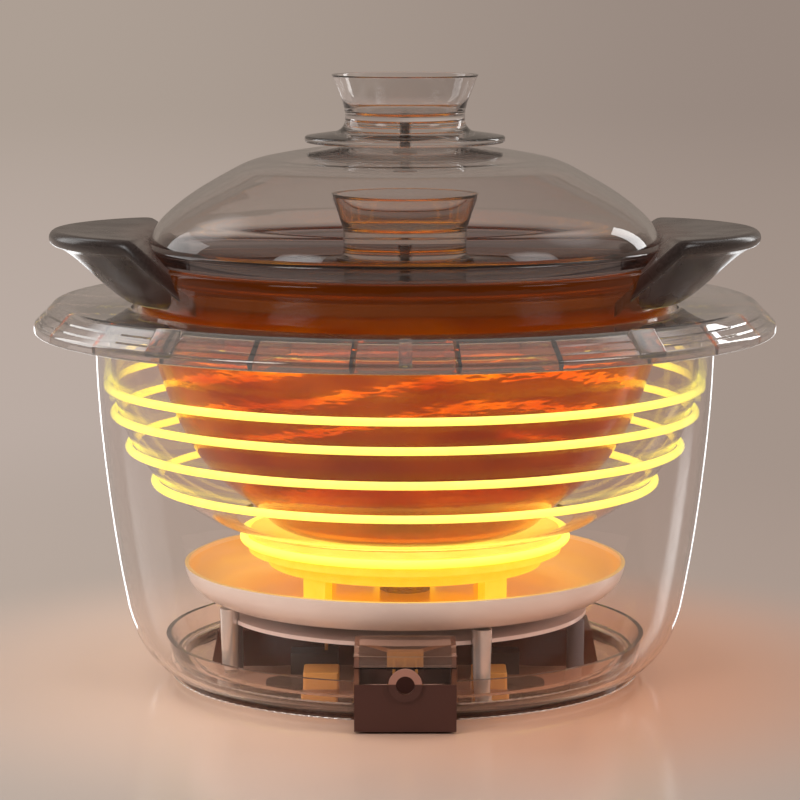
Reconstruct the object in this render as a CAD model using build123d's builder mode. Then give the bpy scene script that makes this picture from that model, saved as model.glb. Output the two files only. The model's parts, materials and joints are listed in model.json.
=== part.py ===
from build123d import *

import os
from math import asin, cos, degrees, pi, radians, sin, sqrt

os.makedirs("parts", exist_ok=True)

# A countertop multicooker: a ceramic pot with two loose lids in a clear heated base.
# Origin: centre of the base on the table. +Z up, -Y to the cord entry, +Y to the control panel.
# All lengths are millimetres and all angles are degrees.

# Clearances
seat_gap = 0.2  # between pieces fixed to each other
lift_gap = 0.3  # between pieces that lift apart
slide_gap = 0.3  # round a piece that slides

# Feet, tray and foot ring
foot_radius = 8.0
foot_height = 3.0
foot_spacing = 94.8
tray_wall = 2.0
tray_radius = 98.2
tray_height = 17.2
foot_ring_radius = 95.5
foot_fillet = 0.9
foot_ring_flare = 1.6
foot_ring_wall = 3.0
foot_ring_lift = 1.0
foot_ring_top = 8.0

# Outer shell, from its heel to its top edge
shell_wall = 2.0
shell_foot_height = 4.5
shell_heel_radius = 109.8
shell_heel_height = 18.4
shell_hip_radius = 116.5
shell_hip_height = 46.0
shell_waist_radius = 123.4
shell_waist_height = 100.0
shell_top_radius = 125.6
shell_top_height = 142.0

# Ribbed rim ring
ring_radius = 150.0
ring_wall = 2.5
ring_edge_height = 3.8
ring_crest_radius = 141.6
ring_crest_rise = 12.1
ring_mouth_radius = 110.6
ring_mouth_rise = 10.3
ring_skirt_drop = 12.5
ring_rib_count = 24
ring_rib_wall = 1.2
ring_clip_width = 4.8
ring_clip_angles = (-90.0, 90.0)
ring_latch_width = 13.0
ring_latch_angles = (-52.0, -128.0, 52.0, 128.0)
ring_clip_rise = 1.2

# Clear liner that carries the side coil, with a bowl-shaped profile
liner_wall = 1.8
liner_shell_gap = 4.2
liner_bowl_radius = 71.7
liner_bowl_height = 130.6
liner_mouth_radius = 70.0

# Side coil: level turns round the liner, stepped at the back
coil_wire_radius = 1.7
coil_turn_heights = (121.0, 109.6, 95.6, 81.0)
coil_step_angle = 60.0
coil_block_length = 6.0
coil_block_width = 6.0
coil_block_depth = 3.0
coil_step_lift = 0.6
coil_step_steepness = 1.6
coil_tip_length = 3.4
coil_check_samples = 320
coil_check_near = 20

# Reflector dish and shield under it
dish_wall = 1.6
dish_rim_radius = 90.3
dish_rim_height = 46.5
dish_belly_radius = 85.6
dish_belly_height = 37.0
dish_floor_radius = 74.0
dish_floor_height = 32.5
dish_wire_hole_radius = 5.0
shield_radius = 74.5
shield_wall = 1.6
shield_hole_radius = 9.0

# Pillars and posts
standoff_radius = 4.0
standoff_taper = 0.8
standoff_circle = 76.5
standoff_first_angle = -67.0
post_radius = 3.5
post_x = 69.0
post_y = 22.5
post_height = 26.0
screw_shank_radius = 1.5
screw_head_radius = 3.0
screw_head_height = 1.5
screw_head_fillet = 0.6
screw_depth = 7.0

# Heater plate and its ring element
plate_radius = 64.0
plate_thickness = 7.0
plate_top = 58.5
plate_step_radius = 56.0
plate_step_thickness = 5.5
plate_hole_radius = 14.0
plate_fillet = 1.0
plate_leg_width = 12.0
plate_leg_wall = 4.0
plate_leg_circle = 52.0
plate_leg_angles = (-48.0, -132.0, 48.0, 132.0)
element_radius = 1.7
element_drop = 1.7
element_gap_angle = 20.0
element_bend_angle = 6.0

# Sprung temperature sensor in the plate's centre
sensor_radius = 12.5
sensor_rim = 1.6
sensor_fillet = 0.6
sensor_skirt_radius = 8.6
sensor_skirt_depth = 13.0
sensor_wall = 1.0
sensor_travel = 3.0
guide_wall = 1.4
spring_radius = 6.0
spring_wire_radius = 0.6
spring_turns = 6

# Safety cut-out under the shield
cutout_radius = 7.0
cutout_height = 4.6
cutout_fillet = 0.9
cutout_y = 40.0

# Circuit board, its smoked cover and the pieces beside it
cover_length = 158.0
cover_lean = 3.0
cover_depth = 32.0
cover_height = 15.0
cover_wall = 1.6
cover_fillet = 0.8
board_length = 140.0
board_depth = 26.0
board_wall = 1.6
board_lift = 3.0
board_post_radius = 3.0
relay_length = 19.0
relay_depth = 12.0
relay_height = 9.0
relay_x = 36.5
relay_y = -26.0
capacitor_length = 14.0
capacitor_depth = 15.0
capacitor_height = 8.0
capacitor_x = 33.0
capacitor_y = -55.5
capacitor_fillet = 1.2

# Cord box, its cover, grommet and terminals
box_width = 38.8
box_front = 111.0
box_depth = 38.0
box_bottom = 1.0
box_seam = 19.0
box_wall = 1.8
hood_front_rise = 6.6
hood_rise = 11.0
hood_slope_depth = 20.0
cord_hole_radius = 3.6
grommet_radius = 5.7
grommet_lip = 1.0
grommet_lip_radius = 6.4
terminal_length = 14.0
terminal_depth = 6.0
terminal_height = 6.0
terminal_y = -84.0
terminal_pin_radius = 0.6
terminal_pin_drop = 2.6
terminal_pin_spacing = 4.3
wire_radius = 0.7
wire_bend_radius = 4.0
wire_lead = 6.0

# Control panel on the far side
panel_width = 60.0
panel_front = 110.0
panel_depth = 26.0
panel_height = 24.0
panel_wall = 2.0
panel_button_height = 13.5
panel_board_wall = 1.6
panel_board_setback = 7.0
window_width = 20.0
window_height = 9.0
button_radius = 3.6
button_proud = 1.0
button_fillet = 0.5
button_depth = 2.4
button_travel = 1.2
button_columns = (-23.5, -15.0, 15.0, 23.5)
switch_width = 5.0

# Pot
pot_base_radius = 45.0
pot_wall = 4.5
pot_knee_radius = 66.0
pot_knee_height = 73.5
pot_hip_radius = 83.5
pot_hip_height = 90.5
pot_waist_radius = 96.5
pot_waist_height = 116.0
pot_neck_radius = 107.3
pot_neck_height = 158.0
pot_rim_radius = 109.3
pot_rim_top = 170.4
pot_bead_height = 5.4
pot_mouth_radius = 100.3
pot_ledge_width = 5.3
pot_ledge_height = 165.2
pot_ledge_thickness = 2.0
ear_centre = 80.0
ear_reach = 64.0
ear_rim_top = 183.0
ear_rim_wall = 6.5
ear_saddle_drop = 12.0
ear_underside_height = 155.2
ear_underside_reach = 35.0
ear_edge_fillet = 2.4
ear_slope_top = 106.8
ear_slope_foot = 92.0

# Inner lid
inner_lid_radius = 99.9
inner_lid_thickness = 5.5
inner_lid_fillet = 1.6
inner_knob_base_radius = 28.0
inner_knob_neck_radius = 24.8
inner_knob_neck_height = 7.4
inner_knob_floor_height = 11.5
inner_knob_height = 24.8
inner_knob_mouth_radius = 29.8
knob_cup_wall = 2.0
knob_cup_fillet = 0.8

# Outer lid
lid_rim_radius = 106.0
lid_rim_inner_radius = 101.4
lid_rim_height = 7.4
lid_rim_side_height = 5.9
lid_rim_root_width = 2.0
lid_shoulder_radius = 103.5
lid_wall = 3.0
lid_flank_radius = 97.3
lid_flank_rise = 17.4
lid_brow_radius = 79.7
lid_brow_rise = 30.4
lid_crown_radius = 56.6
lid_crown_rise = 41.0
lid_height = 46.6
outer_knob_flange_radius = 40.5
outer_knob_flange_height = 2.6
outer_knob_neck_radius = 24.2
outer_knob_neck_height = 9.4
outer_knob_floor_height = 11.0
outer_knob_height = 27.2
outer_knob_mouth_radius = 29.6
knob_screw_radius = 2.0
knob_screw_head_radius = 5.0
knob_screw_head_height = 2.0
knob_screw_fillet = 0.8
knob_screw_depth = 8.0

# Levels and places that follow from the sizes above
tray_floor = foot_height + tray_wall
dish_floor = dish_floor_height + dish_wall
well_radius = foot_ring_radius - foot_ring_wall - seat_gap
shell_foot_radius = foot_ring_radius + seat_gap + shell_wall
ring_bottom = shell_top_height + seat_gap
ring_crest_height = ring_bottom + ring_crest_rise
ring_mouth_height = ring_bottom + ring_mouth_rise
liner_radius = shell_top_radius - shell_wall - liner_shell_gap
plate_bottom = plate_top - plate_thickness
plate_step_bottom = plate_bottom - plate_step_thickness
pot_bottom = plate_top + lift_gap
inner_lid_bottom = pot_ledge_height + lift_gap
inner_lid_top = inner_lid_bottom + inner_lid_thickness
lid_bottom = pot_rim_top + lift_gap
lid_top = lid_bottom + lid_height
inner_knob_bottom = inner_lid_top + seat_gap
outer_knob_bottom = lid_top + seat_gap


def biarc_run(start, start_way, end, end_way):
    """Draw one span of a tube's route as two tangent arcs, or as a line where it is straight."""
    chord = end - start
    if (chord.normalized() - start_way).length + (chord.normalized() - end_way).length < 1e-6:
        Line(start, end)
        return
    slack = 2 * (1 - start_way.dot(end_way))
    reach = chord.dot(start_way + end_way)
    if slack < 1e-9:
        arm = chord.dot(chord) / (2 * reach)
    else:
        arm = (sqrt(reach**2 + slack * chord.dot(chord)) - reach) / slack
    first_corner = start + start_way * arm
    second_corner = end - end_way * arm
    middle = (first_corner + second_corner) * 0.5
    TangentArc(start, middle, tangent=start_way)
    TangentArc(middle, end, tangent=(second_corner - first_corner).normalized())


def tube_route(stations):
    """Draw a tube's route through its stations, each a point and the way the tube runs there."""
    for (start, start_way), (end, end_way) in zip(stations, stations[1:]):
        biarc_run(start, start_way, end, end_way)


def curved_profile(points, first_way, last_way):
    """Draw a smooth profile through points, as arcs that join without a corner."""
    spots = [Vector(*point) for point in points]
    ways = [Vector(*first_way).normalized()]
    ways += [(after - before).normalized() for before, after in zip(spots, spots[2:])]
    ways.append(Vector(*last_way).normalized())
    tube_route(list(zip(spots, ways)))


def station(radius, angle, height):
    """Give the point at an angle on a level circle, and the way the circle runs there."""
    turn = radians(angle)
    point = Vector(radius * cos(turn), radius * sin(turn), height)
    return point, Vector(-sin(turn), cos(turn), 0)


def least_gap_to_itself(points, near, tube_radius):
    """Give the least gap between a tube's stretches that lie more than near points apart."""
    least = min(
        (points[i] - points[j]).length
        for i in range(len(points))
        for j in range(i + near, len(points))
    )
    return least - 2 * tube_radius


# Rubber feet
with BuildPart() as rubber_feet:
    with GridLocations(foot_spacing, foot_spacing, 2, 2):
        Cylinder(foot_radius, foot_height, align=(Align.CENTER, Align.CENTER, Align.MIN))
    fillet(rubber_feet.edges().group_by(Axis.Z)[0], foot_fillet)
rubber_feet.part.label = "rubber_feet"
export_step(rubber_feet.part, "parts/rubber_feet.step")

# Room that the cord box and the control panel take in the base's walls
box_back = box_depth - box_front
panel_back = panel_front - panel_depth
with BuildPart() as side_notches:
    with BuildSketch(Plane.XY):
        with Locations((0, box_back + seat_gap)):
            Rectangle(
                box_width + 2 * seat_gap,
                shell_top_radius,
                align=(Align.CENTER, Align.MAX),
            )
    extrude(amount=box_seam + hood_rise + 2 * seat_gap)
    with BuildSketch(Plane.XY):
        with Locations((0, panel_back - seat_gap)):
            Rectangle(
                panel_width + 2 * seat_gap,
                shell_top_radius,
                align=(Align.CENTER, Align.MIN),
            )
    extrude(amount=panel_height + seat_gap)

# Smoked ring that the tray stands in
with BuildPart() as foot_ring:
    with BuildSketch(Plane.XZ):
        with BuildLine():
            Polyline(
                (foot_ring_radius - foot_ring_wall, foot_ring_lift),
                (foot_ring_radius - foot_ring_flare, foot_ring_lift),
                (foot_ring_radius, foot_ring_top),
                (foot_ring_radius - foot_ring_wall, foot_ring_top),
                close=True,
            )
        make_face()
    revolve(axis=Axis.Z)
    add(side_notches.part, mode=Mode.SUBTRACT)
foot_ring.part.label = "foot_ring"
export_step(foot_ring.part, "parts/foot_ring.step")

# Clear tray: a well inside the foot ring and a wider rim above it
with BuildPart() as base_tray:
    with BuildSketch(Plane.XZ):
        with BuildLine():
            Polyline(
                (0, foot_height),
                (well_radius, foot_height),
                (well_radius, foot_ring_top + seat_gap),
                (foot_ring_radius, foot_ring_top + seat_gap),
                (tray_radius, tray_height),
                (tray_radius - tray_wall, tray_height),
                (foot_ring_radius - tray_wall, foot_ring_top + seat_gap + tray_wall),
                (well_radius - tray_wall, foot_ring_top + seat_gap + tray_wall),
                (well_radius - tray_wall, tray_floor),
                (0, tray_floor),
                close=True,
            )
        make_face()
    revolve(axis=Axis.Z)
    add(side_notches.part, mode=Mode.SUBTRACT)
    with BuildSketch(Plane.XY.offset(foot_height)):
        with PolarLocations(standoff_circle, 4, start_angle=standoff_first_angle):
            Circle(screw_shank_radius + seat_gap)
    extrude(amount=tray_wall, mode=Mode.SUBTRACT)
base_tray.part.label = "base_tray"
export_step(base_tray.part, "parts/base_tray.step")

# Clear outer shell
with BuildPart() as outer_shell:
    with BuildSketch(Plane.XZ):
        with BuildLine():
            curved_profile(
                (
                    (shell_foot_radius, shell_foot_height),
                    (shell_heel_radius, shell_heel_height),
                    (shell_hip_radius, shell_hip_height),
                    (shell_waist_radius, shell_waist_height),
                    (shell_top_radius, shell_top_height),
                ),
                first_way=(1, 0.6),
                last_way=(0.01, 1),
            )
            offset(amount=shell_wall, side=Side.LEFT)
        make_face()
    revolve(axis=Axis.Z)
    add(side_notches.part, mode=Mode.SUBTRACT)
outer_shell.part.label = "outer_shell"
export_step(outer_shell.part, "parts/outer_shell.step")

# Rim ring: open pockets below leave radial ribs, and small clips stand on its edge
ring_rib_angle = degrees(ring_rib_wall / ring_crest_radius)
ring_pitch_angle = 360 / ring_rib_count
with BuildPart() as ring_pocket:
    with BuildSketch(Plane.XZ):
        with BuildLine():
            Polyline(
                (ring_mouth_radius + ring_wall, ring_bottom),
                (ring_mouth_radius + ring_wall, ring_mouth_height - ring_wall),
                (ring_crest_radius - ring_wall / 2, ring_crest_height - ring_wall),
                (ring_radius - ring_wall, ring_bottom + ring_edge_height - ring_wall / 2),
                (ring_radius - ring_wall, ring_bottom),
                close=True,
            )
        make_face()
    revolve(axis=Axis.Z, revolution_arc=ring_pitch_angle - ring_rib_angle)


def ring_clip(width):
    """Make a clip of a given width on the ring's outer slope."""
    with BuildPart() as clip:
        with BuildSketch(Plane.XZ):
            with BuildLine():
                Polyline(
                    (ring_crest_radius - ring_wall, ring_crest_height - ring_wall / 2),
                    (ring_crest_radius + ring_clip_rise, ring_crest_height + ring_clip_rise / 2),
                    (ring_radius + ring_clip_rise / 2, ring_bottom + ring_edge_height),
                    (ring_radius - ring_wall / 2, ring_bottom + ring_edge_height / 2),
                    close=True,
                )
            make_face()
        revolve(axis=Axis.Z, revolution_arc=degrees(width / ring_crest_radius))
    return clip.part.rotate(Axis.Z, -degrees(width / ring_crest_radius) / 2)


with BuildPart() as rim_ring:
    with BuildSketch(Plane.XZ):
        with BuildLine():
            Polyline(
                (ring_mouth_radius, ring_mouth_height - ring_skirt_drop),
                (ring_mouth_radius, ring_mouth_height),
                (ring_crest_radius, ring_crest_height),
                (ring_radius, ring_bottom + ring_edge_height),
                (ring_radius, ring_bottom),
                (ring_mouth_radius + ring_wall, ring_bottom),
                (ring_mouth_radius + ring_wall, ring_mouth_height - ring_skirt_drop),
                close=True,
            )
        make_face()
    revolve(axis=Axis.Z)
    for angle in ring_clip_angles:
        add(ring_clip(ring_clip_width), rotation=(0, 0, angle))
    for angle in ring_latch_angles:
        add(ring_clip(ring_latch_width), rotation=(0, 0, angle))
    with PolarLocations(0, ring_rib_count, start_angle=(ring_pitch_angle + ring_rib_angle) / 2):
        add(ring_pocket.part, mode=Mode.SUBTRACT)
rim_ring.part.label = "rim_ring"
export_step(rim_ring.part, "parts/rim_ring.step")

# Clear liner between the pot and the side coil
liner_centre = liner_radius - liner_bowl_radius
liner_mouth_rise = sqrt(liner_bowl_radius**2 - (liner_mouth_radius - liner_centre) ** 2)
liner_mouth_angle = -degrees(asin(liner_mouth_rise / liner_bowl_radius))
with BuildPart() as heating_liner:
    with BuildSketch(Plane.XZ):
        with BuildLine():
            CenterArc(
                (liner_centre, liner_bowl_height),
                liner_bowl_radius,
                liner_mouth_angle,
                -liner_mouth_angle,
            )
            Line((liner_radius, liner_bowl_height), (liner_radius, shell_top_height))
            offset(amount=liner_wall, side=Side.LEFT)
        make_face()
    revolve(axis=Axis.Z)
heating_liner.part.label = "heating_liner"
export_step(heating_liner.part, "parts/heating_liner.step")

# Side coil: one tube whose level turns lie on the liner's bowl and step down at the back
coil_profile_radius = liner_bowl_radius + seat_gap + coil_wire_radius


def bowl_radius(height):
    """Give the radius of the coil's centre line where it lies on the bowl at a height."""
    return liner_centre + sqrt(coil_profile_radius**2 - (height - liner_bowl_height) ** 2)


up = Vector(0, 0, 1)
coil_stations = []
level_angle = 360 - coil_step_angle
for turn, height in enumerate(coil_turn_heights):
    if turn > 0:
        previous_height = coil_turn_heights[turn - 1]
        step_height = (previous_height + height) / 2
        step_radius = bowl_radius(step_height) + coil_step_lift
        step_point, level_way = station(step_radius, 90, step_height)
        step_drop = up * (previous_height - height)
        step_in = step_point * ((bowl_radius(previous_height) - bowl_radius(height)) / step_radius)
        step_in -= up * step_in.Z
        step_length = radians(coil_step_angle) * step_radius
        step_way = level_way * step_length - (step_drop + step_in) * coil_step_steepness
        coil_stations.append((step_point, step_way.normalized()))
    for quarter in range(5):
        angle = 90 + coil_step_angle / 2 + level_angle * quarter / 4
        coil_stations.append(station(bowl_radius(height), angle, height))
coil_start, coil_start_way = coil_stations[0]
coil_end, coil_end_way = coil_stations[-1]
coil_start_tip = coil_start - coil_start_way * coil_tip_length
coil_end_tip = coil_end + coil_end_way * coil_tip_length
coil_stations.insert(0, (coil_start_tip, coil_start_way))
coil_stations.append((coil_end_tip, coil_end_way))
with BuildPart() as side_heating_coil:
    with BuildLine() as coil_route:
        tube_route(coil_stations)
    with BuildSketch(Plane(origin=coil_route.line @ 0, z_dir=coil_route.line % 0)):
        Circle(coil_wire_radius)
    sweep()
coil_points = [coil_route.line @ (index / coil_check_samples) for index in range(coil_check_samples + 1)]
coil_least_gap = least_gap_to_itself(coil_points, coil_check_near, coil_wire_radius)
print("side coil, least gap to itself", round(coil_least_gap, 2))
side_heating_coil.part.label = "side_heating_coil"
export_step(side_heating_coil.part, "parts/side_heating_coil.step")

# Ceramic blocks on the liner that the coil's two ends run into
with BuildPart() as coil_end_blocks:
    for tip, way in ((coil_start_tip, -coil_start_way), (coil_end_tip, coil_end_way)):
        outward = Vector(tip.X, tip.Y, 0).normalized()
        lean = outward * (bowl_radius(tip.Z) - liner_centre) + up * (tip.Z - liner_bowl_height)
        with Locations(Plane(origin=tip + way * seat_gap, x_dir=lean.normalized(), z_dir=way)):
            Box(
                coil_block_depth,
                coil_block_width,
                coil_block_length,
                align=(Align.CENTER, Align.CENTER, Align.MIN),
            )
coil_end_blocks.part.label = "coil_end_blocks"
export_step(coil_end_blocks.part, "parts/coil_end_blocks.step")

# Reflector dish
with BuildPart() as reflector_dish:
    with BuildSketch(Plane.XZ):
        with BuildLine():
            Line((dish_wire_hole_radius, dish_floor_height), (dish_floor_radius, dish_floor_height))
            curved_profile(
                (
                    (dish_floor_radius, dish_floor_height),
                    (dish_belly_radius, dish_belly_height),
                    (dish_rim_radius, dish_rim_height),
                ),
                first_way=(1, 0),
                last_way=(0.1, 1),
            )
            offset(amount=dish_wall, side=Side.LEFT)
        make_face()
    revolve(axis=Axis.Z)
reflector_dish.part.label = "reflector_dish"
export_step(reflector_dish.part, "parts/reflector_dish.step")

# Pillars between the tray and the dish, each with a screw from below
standoff_length = dish_floor_height - seat_gap - tray_floor
with BuildPart() as standoffs:
    with Locations(Plane.XY.offset(tray_floor)):
        with PolarLocations(standoff_circle, 4, start_angle=standoff_first_angle):
            Cone(
                standoff_radius - standoff_taper,
                standoff_radius,
                standoff_length,
                align=(Align.CENTER, Align.CENTER, Align.MIN),
            )
    with BuildSketch(Plane.XY.offset(tray_floor)):
        with PolarLocations(standoff_circle, 4, start_angle=standoff_first_angle):
            Circle(screw_shank_radius + seat_gap / 2)
    extrude(amount=screw_depth, mode=Mode.SUBTRACT)
standoffs.part.label = "standoffs"
export_step(standoffs.part, "parts/standoffs.step")

with BuildPart() as tray_screws:
    with BuildSketch(Plane.XY.offset(foot_height - screw_head_height)):
        with PolarLocations(standoff_circle, 4, start_angle=standoff_first_angle):
            Circle(screw_head_radius)
    extrude(amount=screw_head_height)
    fillet(tray_screws.edges().group_by(Axis.Z)[0], screw_head_fillet)
    with BuildSketch(Plane.XY.offset(foot_height)):
        with PolarLocations(standoff_circle, 4, start_angle=standoff_first_angle):
            Circle(screw_shank_radius)
    extrude(amount=tray_wall + screw_depth - seat_gap)
tray_screws.part.label = "tray_screws"
export_step(tray_screws.part, "parts/tray_screws.step")

# Heat shield on four posts, cut back round the pillars
with BuildPart() as support_posts:
    with BuildSketch(Plane.XY.offset(tray_floor)):
        with GridLocations(2 * post_x, 2 * post_y, 2, 2):
            Circle(post_radius)
    extrude(amount=post_height - tray_floor)
support_posts.part.label = "support_posts"
export_step(support_posts.part, "parts/support_posts.step")

with BuildPart() as shield_disc:
    with BuildSketch(Plane.XY.offset(post_height)):
        Circle(shield_radius)
        Circle(shield_hole_radius, mode=Mode.SUBTRACT)
        with PolarLocations(standoff_circle, 4, start_angle=standoff_first_angle):
            Circle(standoff_radius + seat_gap, mode=Mode.SUBTRACT)
    extrude(amount=shield_wall)
shield_disc.part.label = "shield_disc"
export_step(shield_disc.part, "parts/shield_disc.step")

with BuildPart() as thermal_cutout:
    with BuildSketch(Plane.XY.offset(post_height - cutout_height)):
        with Locations((0, cutout_y)):
            Circle(cutout_radius)
    extrude(amount=cutout_height)
    fillet(thermal_cutout.edges().group_by(Axis.Z)[0], cutout_fillet)
thermal_cutout.part.label = "thermal_cutout"
export_step(thermal_cutout.part, "parts/thermal_cutout.step")

# Heater plate on four legs that stand on the dish
with BuildPart() as heater_plate:
    with BuildSketch(Plane.XY.offset(plate_bottom)):
        Circle(plate_radius)
    extrude(amount=plate_thickness)
    fillet(heater_plate.edges().group_by(Axis.Z)[-1], plate_fillet)
    with BuildSketch(Plane.XY.offset(plate_step_bottom)):
        Circle(plate_step_radius)
    extrude(amount=plate_step_thickness)
    with BuildSketch(Plane.XY.offset(dish_floor)):
        for angle in plate_leg_angles:
            with Locations(Rot(0, 0, angle) * Pos(plate_leg_circle, 0)):
                Rectangle(plate_leg_wall, plate_leg_width)
    extrude(amount=plate_step_bottom - dish_floor)
    with BuildSketch(Plane.XY.offset(plate_step_bottom)):
        Circle(plate_hole_radius)
    extrude(amount=plate_top - plate_step_bottom, mode=Mode.SUBTRACT)
heater_plate.part.label = "heater_plate"
export_step(heater_plate.part, "parts/heater_plate.step")

# Ring element round the plate, with both ends bent down to the dish floor
element_circle = plate_radius + seat_gap + element_radius
element_height = plate_top - element_drop
element_bend_radius = element_circle * radians(element_bend_angle)
element_first_angle = 90 + element_gap_angle / 2
element_last_angle = 450 - element_gap_angle / 2
element_level_angle = element_last_angle - element_first_angle - 2 * element_bend_angle
element_foot, _ = station(element_circle, element_first_angle, dish_floor + seat_gap)
element_knee, _ = station(element_circle, element_first_angle, element_height - element_bend_radius)
element_stations = [(element_foot, up), (element_knee, up)]
for quarter in range(5):
    angle = element_first_angle + element_bend_angle + element_level_angle * quarter / 4
    element_stations.append(station(element_circle, angle, element_height))
far_foot, _ = station(element_circle, element_last_angle, dish_floor + seat_gap)
far_knee, _ = station(element_circle, element_last_angle, element_height - element_bend_radius)
element_stations += [(far_knee, -up), (far_foot, -up)]
with BuildPart() as plate_heating_element:
    with BuildLine() as element_route:
        tube_route(element_stations)
    with BuildSketch(Plane(origin=element_route.line @ 0, z_dir=element_route.line % 0)):
        Circle(element_radius)
    sweep()
plate_heating_element.part.label = "plate_heating_element"
export_step(plate_heating_element.part, "parts/plate_heating_element.step")

# Temperature sensor: a guide on the dish, a spring in it and a cap that the pot presses down
guide_radius = sensor_skirt_radius + slide_gap + guide_wall
guide_height = plate_top - sensor_rim - sensor_travel - slide_gap - dish_floor
with BuildPart() as sensor_guide:
    with BuildSketch(Plane.XY.offset(dish_floor)):
        Circle(guide_radius)
        Circle(sensor_skirt_radius + slide_gap, mode=Mode.SUBTRACT)
    extrude(amount=guide_height)
sensor_guide.part.label = "sensor_guide"
export_step(sensor_guide.part, "parts/sensor_guide.step")

with BuildPart() as sensor_cap:
    with BuildSketch(Plane.XY.offset(plate_top - sensor_rim)):
        Circle(sensor_radius)
    extrude(amount=sensor_rim)
    fillet(sensor_cap.edges().group_by(Axis.Z)[-1], sensor_fillet)
    with BuildSketch(Plane.XY.offset(plate_top - sensor_rim - sensor_skirt_depth)):
        Circle(sensor_skirt_radius)
        Circle(sensor_skirt_radius - sensor_wall, mode=Mode.SUBTRACT)
    extrude(amount=sensor_skirt_depth)
sensor_cap.part.label = "sensor_cap"
export_step(sensor_cap.part, "parts/sensor_cap.step")

spring_bottom = dish_floor + spring_wire_radius
spring_top = plate_top - sensor_rim - spring_wire_radius - slide_gap
spring_rise = (spring_top - spring_bottom) / spring_turns
spring_stations = []
for quarter in range(4 * spring_turns + 1):
    point, level_way = station(spring_radius, 90 * quarter, spring_bottom + spring_rise * quarter / 4)
    spring_way = (level_way * 2 * pi * spring_radius + up * spring_rise).normalized()
    spring_stations.append((point, spring_way))
with BuildPart() as sensor_spring:
    with BuildLine() as spring_route:
        tube_route(spring_stations)
    with BuildSketch(Plane(origin=spring_route.line @ 0, z_dir=spring_route.line % 0)):
        Circle(spring_wire_radius)
    sweep()
sensor_spring.part.label = "sensor_spring"
export_step(sensor_spring.part, "parts/sensor_spring.step")

# Circuit board on four posts under a smoked cover
with BuildPart() as power_board:
    with BuildSketch(Plane.XY.offset(tray_floor + board_lift)):
        Rectangle(board_length, board_depth)
    extrude(amount=board_wall)
    with BuildSketch(Plane.XY.offset(tray_floor)):
        with GridLocations(
            board_length - 3 * board_post_radius, board_depth - 3 * board_post_radius, 2, 2
        ):
            Circle(board_post_radius)
    extrude(amount=board_lift)
power_board.part.label = "power_board"
export_step(power_board.part, "parts/power_board.step")

with BuildPart() as power_cover:
    with BuildSketch(Plane.XZ):
        with BuildLine():
            Polyline(
                (-cover_length / 2, tray_floor),
                (cover_length / 2, tray_floor),
                (cover_length / 2 - cover_lean, tray_floor + cover_height),
                (-cover_length / 2 + cover_lean, tray_floor + cover_height),
                close=True,
            )
        make_face()
    extrude(amount=cover_depth / 2, both=True)
    fillet(power_cover.edges().group_by(Axis.Z)[-1], cover_fillet)
    with BuildSketch(Plane.XY.offset(tray_floor)):
        Rectangle(
            cover_length - 2 * cover_lean - 2 * cover_wall,
            cover_depth - 2 * cover_wall,
        )
    extrude(amount=cover_height - cover_wall, mode=Mode.SUBTRACT)
power_cover.part.label = "power_cover"
export_step(power_cover.part, "parts/power_cover.step")

with BuildPart() as relays:
    with BuildSketch(Plane.XY.offset(tray_floor)):
        with Locations((relay_x, relay_y), (-relay_x, relay_y)):
            Rectangle(relay_length, relay_depth)
    extrude(amount=relay_height)
relays.part.label = "relays"
export_step(relays.part, "parts/relays.step")

with BuildPart() as film_capacitors:
    with BuildSketch(Plane.XY.offset(tray_floor)):
        with Locations((capacitor_x, capacitor_y), (-capacitor_x, capacitor_y)):
            Rectangle(capacitor_length, capacitor_depth)
    extrude(amount=capacitor_height)
    fillet(film_capacitors.edges().filter_by(Axis.Z), capacitor_fillet)
    fillet(film_capacitors.edges().group_by(Axis.Z)[-1], capacitor_fillet / 2)
film_capacitors.part.label = "film_capacitors"
export_step(film_capacitors.part, "parts/film_capacitors.step")

# Cord box: a dark lower half with a shelf for the terminals, and a smoked hood on its seam
box_middle = box_depth / 2 - box_front
grommet_middle = -box_front + box_wall / 2
with BuildPart() as cord_box:
    with BuildSketch(Plane.XY.offset(box_bottom)):
        with Locations((0, box_middle)):
            Rectangle(box_width, box_depth)
    extrude(amount=box_seam - box_bottom)
    with BuildSketch(Plane.XY.offset(box_bottom + box_wall)):
        with Locations((0, box_middle)):
            Rectangle(box_width - 2 * box_wall, box_depth - 2 * box_wall)
    extrude(amount=box_seam - box_bottom - box_wall, mode=Mode.SUBTRACT)
    with BuildSketch(Plane.XY.offset(box_bottom + box_wall / 2)):
        with Locations((0, terminal_y)):
            Rectangle(terminal_length, terminal_depth)
    extrude(amount=box_seam - box_bottom - box_wall / 2)
    with Locations((0, grommet_middle, box_seam)):
        Cylinder(grommet_radius + seat_gap, 2 * box_wall, rotation=(90, 0, 0), mode=Mode.SUBTRACT)
cord_box.part.label = "cord_box"
export_step(cord_box.part, "parts/cord_box.step")

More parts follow.
